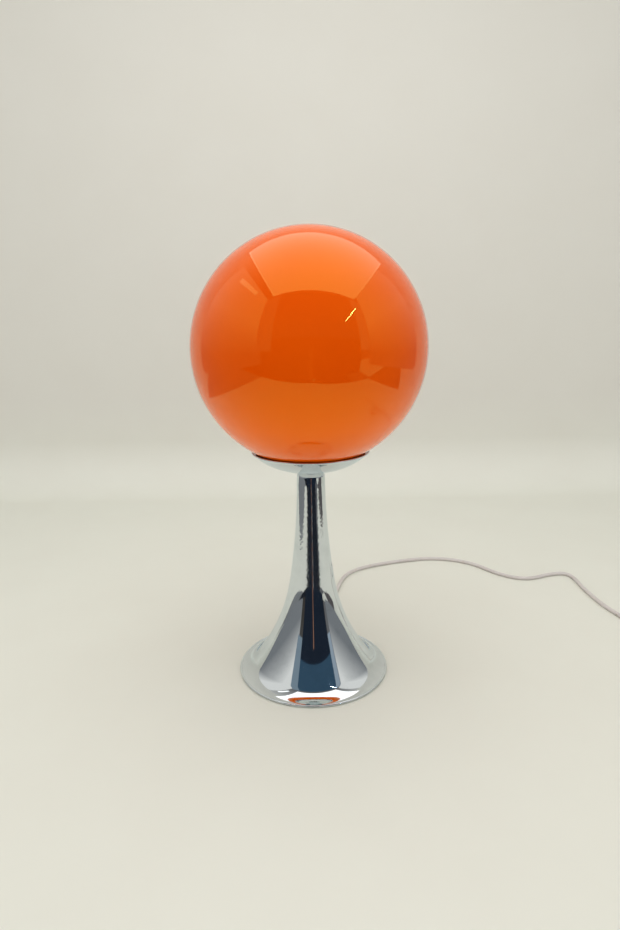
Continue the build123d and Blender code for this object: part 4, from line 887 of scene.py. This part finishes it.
@dataclass
class Lead(Assembly):
    """The cord: the free run to the switch, then the stretch to the coil, the coil and the plug."""

    diameter: float = 5.4
    azimuth: float = 80.0
    exit_height: float = 10.7
    sleeve_end: float = 103.74
    straight_out: float = 24.0
    wall_distance: float = 72.0
    collar_distance: float = 77.74
    collar: float = 5.2
    sleeve: Pair = (4.2, 3.5)
    sleeve_grooves: int = 4
    groove: Pair = (1.4, 0.5)
    clearance: float = 0.05
    sunk: float = 8.0
    collar_rounds: tuple[float, float, float] = (0.5, 0.7, 0.3)
    groove_round: float = 0.15
    tip_round: float = 0.3
    table_run: tuple[Place, ...] = (
        (31, 158, 4.0), (37, 206, 2.7), (53, 260, 2.7), (85, 289, 2.7), (151, 314, 2.7),
        (211, 325, 2.7), (265, 303, 2.7), (299, 249, 2.7), (335, 230, 2.7), (374, 248, 2.7),
        (402, 254, 2.7), (411, 236, 2.7), (408, 198, 2.7), (411, 142, 2.7), (421, 104, 2.7),
        (428, 71, 3.0), (431, 44, 6.0), (431, 20, 6.0),
    )
    to_coil: tuple[Place, ...] = (
        (431, -42, 6.0), (431, -60, 6.0), (433, -82, 3.2), (433, -100, 3.2),
    )
    to_plug: tuple[Place, ...] = (
        (433, -110.8, 9.2), (433, -127, 9.2), (436, -149, 3.0), (439, -171, 2.9),
        (441, -192, 6.85), (441, -208, 6.85),
    )
    coil_middle: Place = (395.75, -105.4, 3.2)
    coil_turns: int = 4
    coil_inner: float = 26.0
    coil_pitch: float = 6.0
    coil_layer: float = 6.0
    coil_climb: float = 0.5
    per_turn: int = 16
    run_length: float = 0.80
    rest_length: float = 0.955

    def exit_way(self) -> Array:
        """Unit direction in which the cord leaves the foot."""
        a = math.radians(self.azimuth)
        return np.array([math.cos(a), math.sin(a), 0.0])

    def exit_place(self, distance: float) -> Place:
        """A place on the line of the cord's way out, in metres."""
        x, y, _ = self.exit_way() * distance
        return (x * MM, y * MM, self.exit_height * MM)

    def coil(self) -> Array:
        """The coil's points: clockwise turns that narrow to the middle turn and widen again.

        At t turns, the radius is the inner one plus a pitch for each turn away from the middle
        turn, eased where the cord climbs, and the height rises by one layer there. Each point
        stands a little outside, by 1 / (3/4 + cos(step) / 4), so that the smooth line runs on the
        turns.
        """
        t = np.linspace(0.0, self.coil_turns, self.coil_turns * self.per_turn + 1)
        half = self.coil_climb / 2
        away = np.abs(t - self.coil_turns / 2)
        eased = np.where(away > half, away - half / 2, away**2 / (2 * half))
        step = 2 * math.pi / self.per_turn
        radius = (self.coil_inner + self.coil_pitch * eased) / (0.75 + 0.25 * math.cos(step))
        done = np.clip((t - self.coil_turns / 2 + half) / self.coil_climb, 0.0, 1.0)
        angle = -2 * math.pi * t
        around = np.stack([radius * np.cos(angle), radius * np.sin(angle),
                           self.coil_layer * done**2 * (3 - 2 * done)], axis=-1)
        return np.array(self.coil_middle) + around

    def line(self, name: str, points: Array) -> bpy.types.Object:
        """A round cord on one smooth quadratic line through its route's points.

        Args:
            name: the piece's name.
            points: the route's points, in metres.

        Returns:
            The curve object.
        """
        curve = bpy.data.curves.new(name, "CURVE")
        curve.dimensions = "3D"
        curve.resolution_u = 12
        curve.bevel_depth = self.diameter / 2 * MM
        curve.bevel_resolution = 6
        curve.use_fill_caps = True
        spline = curve.splines.new("NURBS")
        spline.points.add(len(points) - 1)
        rows = np.hstack([points, np.ones((len(points), 1))])
        spline.points.foreach_set("co", rows.astype(np.float32).ravel())
        spline.order_u = 3
        spline.use_endpoint_u = True
        curve.materials.append(self.wardrobe.pick(CORD_SHEATH))
        made = placed(name, curve)
        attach(made, self.body)
        log.info("cord %s: %d points", name, len(points))
        return made

    def strain_relief(self) -> Array:
        """Section of the tapered sleeve, anticlockwise; its height is the way along the cord."""
        cord = self.diameter / 2 + self.clearance
        base, tip = self.sleeve
        start, end = self.collar_distance, self.sleeve_end
        step = (end - start) / (self.sleeve_grooves + 1)
        back, near, corner = self.collar_rounds
        inner_end = self.wall_distance - self.sunk
        line = [(cord, inner_end, 0), (self.collar, inner_end, back), (self.collar, start, near),
                (base, start, corner)]
        for k in range(1, self.sleeve_grooves + 1):
            full = base - (base - tip) * k / (self.sleeve_grooves + 1)
            low, high = start + step * k - self.groove[0] / 2, start + step * k + self.groove[0] / 2
            bottom = full - self.groove[1]
            line += [(radius, height, self.groove_round) for radius, height in
                     ((full, low), (bottom, low), (bottom, high), (full, high))]
        line += [(tip, end, self.tip_round), (cord, end, 0)]
        return softened(line)

    def build(self) -> None:
        """Make the strain relief and both cords and dress what is on them."""
        way, up = tuple(self.exit_way()), (0.0, 0.0, 1.0)
        axle = Axle((0.0, 0.0, self.exit_height * MM), way, up)
        self.piece("strain_relief", self.strain_relief(), PALE_RUBBER, "cord_grommet", SMALL,
                   axle=axle)
        start = self.exit_place(self.sleeve_end)
        first = [start, self.exit_place(self.sleeve_end + self.straight_out)]
        run = self.line("cord_to_switch", np.vstack([first, np.array(self.table_run) * MM]))
        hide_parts("cord_run")
        rest_points = np.vstack([self.to_coil, self.coil(), self.to_plug]) * MM
        rest = self.line("cord_to_plug", rest_points)
        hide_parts("cord_lead", "cord_coil", "cord_tail")
        self.dress(SWITCH_PLASTIC, "switch_lower", "switch_upper", "switch_rocker", "plug_body")
        self.dress(ZINC, "switch_pin", "switch_screws")
        self.dress(CORD_SHEATH, "switch_leads")
        self.dress(BRASS, "switch_contacts")
        self.dress(BLACK_RUBBER, "cord_tie")
        self.dress(PALE_RUBBER, "plug_boot")
        self.dress(NICKEL, "plug_pins")
        self.dress(BLACK_PLASTIC, "plug_sleeves")


# ------------ studio
@dataclass(frozen=True)
class Card:
    """A flat glowing card that only reflections see: a corner and its two edges, in metres.

    With a crown colour, it goes from its colour at the height fade_from to the crown at fade_to.
    """

    name: str
    corner: Place
    across: Place
    up: Place
    colour: Colour
    strength: float = 1.0
    crown: Colour | None = None
    fade_from: float = 0.15
    fade_to: float = 0.55


@dataclass
class Studio:
    """The pale table with its cove and wall, the soft light, and what the chrome reflects."""

    table: Colour = (0.748, 0.752, 0.674)
    wall: Colour = (0.695, 0.682, 0.628)
    stain: Colour = (0.55, 0.50, 0.42)
    stains: Cloud = Cloud(9.0, 5.0, 0.5, 0.3, 0.7)
    stain_share: float = 0.06
    cove_top: float = 0.22
    matt: Pair = (0.62, 0.25)
    air: Colour = (0.88, 0.875, 0.86)
    room_front: Colour = (0.14, 0.14, 0.145)
    room_back: Colour = (0.58, 0.57, 0.54)
    room_turn: float = 0.45
    front: float = -2.2
    cove_at: float = 0.69
    cove: float = 0.12
    half_width: float = 3.2
    height: float = 2.6
    box_place: Place = (0.0, -0.1, 1.35)
    box_size: Pair = (1.0, 1.1)
    box_watts: float = 5.5
    camera_place: Place = (0.0, -0.6697, 0.405)
    pitch: float = 13.367
    yaw: float = 0.07
    roll: float = -0.808
    lens: float = 24.0
    sensor: float = 36.0
    view_range: Pair = (0.01, 50.0)
    cards: tuple[Card, ...] = field(default_factory=lambda: STUDIO_CARDS)

    def sheet(self) -> None:
        """The table and wall: a profile of floor, quarter round and wall, carried sideways."""
        bend = arc((self.cove_at, self.cove), self.cove, -90, 0, 24)
        profile = np.vstack([[[self.front, 0.0]], bend, [[self.cove_at + self.cove, self.height]]])
        x = np.linspace(-self.half_width, self.half_width, 3)
        grid = np.empty((len(profile), len(x), 3))
        grid[..., 0], grid[..., 1:] = x[None, :], profile[:, None, :]
        rows = np.arange(len(profile) - 1)[:, None]
        here = rows * len(x) + np.arange(len(x) - 1)[None, :]
        quads = np.stack([here, here + 1, here + len(x) + 1, here + len(x)], axis=-1).reshape(-1, 4)
        mesh = bpy.data.meshes.new("table_and_wall")
        mesh.from_pydata(grid.reshape(-1, 3).tolist(), [], quads.tolist())
        mesh.shade_smooth()
        mesh.materials.append(self.paper())
        placed("table_and_wall", mesh)

    def paper(self) -> Material:
        """Matt table and wall: the colour goes from one to the other up the cove.

        Seen by the camera from behind it is clear, so that it never hides the lamp.
        """
        links = Links(bpy.data.materials.new("studio_paper"))
        spot = links.place()
        rise = links.ranged(links.part(spot), 0.0, self.cove_top)
        plain = links.blend(rise, self.table, self.wall)
        stained = links.cloud(spot, self.stains, 0.0, self.stain_share)
        rough, shine = self.matt
        links.dressed(Base_Color=links.blend(stained, plain, self.stain), Roughness=rough,
                      Specular_IOR_Level=shine)
        behind = links.node("ShaderNodeNewGeometry").outputs["Backfacing"]
        eye = links.node("ShaderNodeLightPath").outputs["Is Camera Ray"]
        mixed = links.node("ShaderNodeMixShader", Fac=links.product(behind, eye))
        links.feed(mixed.inputs[1], links.tree.nodes["Principled BSDF"].outputs[0])
        links.feed(mixed.inputs[2], links.node("ShaderNodeBsdfTransparent").outputs[0])
        links.feed(links.tree.nodes["Material Output"].inputs["Surface"], mixed.outputs[0])
        return links.owner

    def card(self, card: Card) -> None:
        """Hang one card; only glossy rays see it."""
        corner, across, up = (np.array(v) for v in (card.corner, card.across, card.up))
        mesh = bpy.data.meshes.new(card.name)
        mesh.from_pydata([corner, corner + across, corner + across + up, corner + up], [],
                         [(0, 1, 2, 3)])
        links = Links(bpy.data.materials.new(card.name))
        glow = links.node("ShaderNodeEmission", Color=(*card.colour, 1.0), Strength=card.strength)
        if card.crown:
            rise = links.ranged(links.part(links.place()), card.fade_from, card.fade_to)
            links.set(glow, Color=links.blend(rise, card.colour, card.crown))
        links.feed(links.tree.nodes["Material Output"].inputs["Surface"], glow.outputs[0])
        mesh.materials.append(links.owner)
        made = placed(card.name, mesh)
        made.visible_camera = made.visible_diffuse = made.visible_shadow = False
        made.visible_transmission = made.visible_volume_scatter = False

    def sky(self) -> None:
        """World light: an even white for matt surfaces, the wall's colour for the camera.

        Reflections see a room that is dark towards the front and pale towards the back.
        """
        bpy.context.scene.world = bpy.data.worlds.new("studio_air")
        links = Links(bpy.context.scene.world)
        path = links.node("ShaderNodeLightPath").outputs
        way = links.node("ShaderNodeTexCoord").outputs["Generated"]
        behind = links.ranged(links.part(way, "Y"), -self.room_turn, self.room_turn)
        room = links.blend(behind, self.room_front, self.room_back)
        seen = links.blend(path["Is Glossy Ray"], self.air, room)
        seen = links.blend(path["Is Camera Ray"], seen, self.wall)
        links.set(links.tree.nodes["Background"], Color=seen)

    def lamp(self) -> None:
        """A soft rectangle of light that faces down and isn't seen in reflections."""
        light = bpy.data.lights.new("soft_box", "AREA")
        light.shape, light.size, light.size_y = "RECTANGLE", *self.box_size
        light.energy = self.box_watts
        made = placed("soft_box", light)
        made.location = self.box_place
        made.visible_glossy = False

    def eye(self) -> None:
        """The camera at the photograph's place: pitched down, then turned and rolled a little."""
        pitch, yaw, roll = (math.radians(v) for v in (self.pitch, self.yaw, self.roll))
        turn = np.array(Matrix.Rotation(yaw, 3, "Z"))
        ahead = turn @ np.array([0.0, math.cos(pitch), -math.sin(pitch)])
        level = turn @ np.array([1.0, 0.0, 0.0])
        above = np.cross(level, ahead)
        right = math.cos(roll) * level + math.sin(roll) * above
        up = math.cos(roll) * above - math.sin(roll) * level
        rows = np.eye(4)
        rows[:3] = np.stack([right, up, -ahead, self.camera_place], axis=-1)
        data = bpy.data.cameras.new("eye")
        data.lens, data.sensor_width, data.sensor_fit = self.lens, self.sensor, "AUTO"
        data.clip_start, data.clip_end = self.view_range
        camera = placed("eye", data)
        camera.matrix_world = Matrix(rows.tolist())
        bpy.context.scene.camera = camera

    def build(self) -> None:
        """Set up table, light and cards."""
        self.sheet()
        self.sky()
        self.lamp()
        for card in self.cards:
            self.card(card)
        log.info("studio: %d reflection cards", len(self.cards))


DARK_FLOOR: Colour = (0.014, 0.016, 0.022)
WHITE: Colour = (1.0, 1.0, 1.0)
STUDIO_CARDS: tuple[Card, ...] = (
    Card("front_dark", (-0.60, -0.95, -0.05), (1.55, 0, 0), (0, 0, 0.64), (0.012, 0.018, 0.03)),
    Card("front_blue", (-0.60, -0.955, 0.59), (1.55, 0, 0), (0, 0, 1.0), (0.035, 0.075, 0.12)),
    Card("flank_left", (-1.0, -0.957, 0.40), (0.40, 0, 0), (0, 0, 1.2), (0.20, 0.26, 0.31)),
    Card("flank_right", (0.95, -0.957, 0.40), (0.35, 0, 0), (0, 0, 1.2), (0.30, 0.36, 0.42)),
    Card("front_far", (-1.7, -1.7, 0.0), (3.5, 0, 0), (0, 0, 2.4), (0.05, 0.045, 0.04), 1.0,
         (0.14, 0.14, 0.14), 0.3, 1.6),
    Card("side_left", (-1.6, -1.7, 0.0), (0, 2.5, 0), (0, 0, 2.4), (0.20, 0.21, 0.22), 1.0,
         (0.80, 0.79, 0.76), 0.30, 1.20),
    Card("side_right", (1.7, -1.2, 0.0), (0, 2.0, 0), (0, 0, 2.4), (0.20, 0.21, 0.22), 1.0,
         (0.80, 0.79, 0.76), 0.30, 1.20),
    Card("floor_front", (-1.7, -0.80, 0.002), (1.75, 0, 0), (0, -1.2, 0), DARK_FLOOR),
    Card("floor_corner", (0.05, -0.80, 0.002), (0.48, 0.144, 0), (0.3, -1.2, 0), DARK_FLOOR),
    Card("floor_beside", (0.53, -0.656, 0.002), (0.32, 0.096, 0), (0.3, -1.2, 0),
         (0.13, 0.13, 0.135)),
    Card("floor_right", (0.80, -0.60, 0.002), (0.9, 0, 0), (0, 0.67, 0), (0.10, 0.09, 0.09)),
    Card("floor_left", (-1.6, -0.80, 0.002), (0.85, 0, 0), (0, 1.3, 0), (0.20, 0.205, 0.21)),
    Card("post", (0.005, -0.94, 0.0), (0.03, 0, 0), (0, 0, 0.45), (0.35, 0.17, 0.10)),
    Card("ceiling", (-0.41, -0.53, 1.046), (1.0, 0, 0), (0, 0.96, 0), (1.0, 0.95, 0.94), 1.65),
    Card("strip_left", (-0.425, -0.53, 1.045), (0.015, 0, 0), (0, 0.96, 0), WHITE, 2.0),
    Card("strip_right", (0.59, -0.53, 1.045), (0.015, 0, 0), (0, 0.96, 0), WHITE, 2.0),
    Card("left_glow", (-0.62, 0.05, 1.046), (0.045, -0.40, 0), (-0.07, -0.01, 0), WHITE, 1.6),
    Card("tube", (0.563, -0.848, 0.838), (0.011, -0.006, 0), (0.107, 0.218, 0.142),
         (0.55, 0.75, 1.0), 55.0),
)


def main() -> None:
    """Build the camera, the cord, the lamp and the studio."""
    logging.basicConfig(level=logging.INFO, format="%(message)s")
    for old in [o for o in bpy.data.objects if o.type in {"CAMERA", "LIGHT"}]:
        bpy.data.objects.remove(old)
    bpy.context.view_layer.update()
    studio = Studio()
    studio.eye()
    wardrobe = Wardrobe()
    for part in (Lead(wardrobe), Trumpet(wardrobe), Gallery(wardrobe), Ball(wardrobe),
                 Holder(wardrobe), Bulb(wardrobe)):
        part.build()
        log.info("built %s", type(part).__name__)
    studio.build()
    bpy.context.scene.view_settings.view_transform = "Standard"


if __name__ == "__main__":
    main()
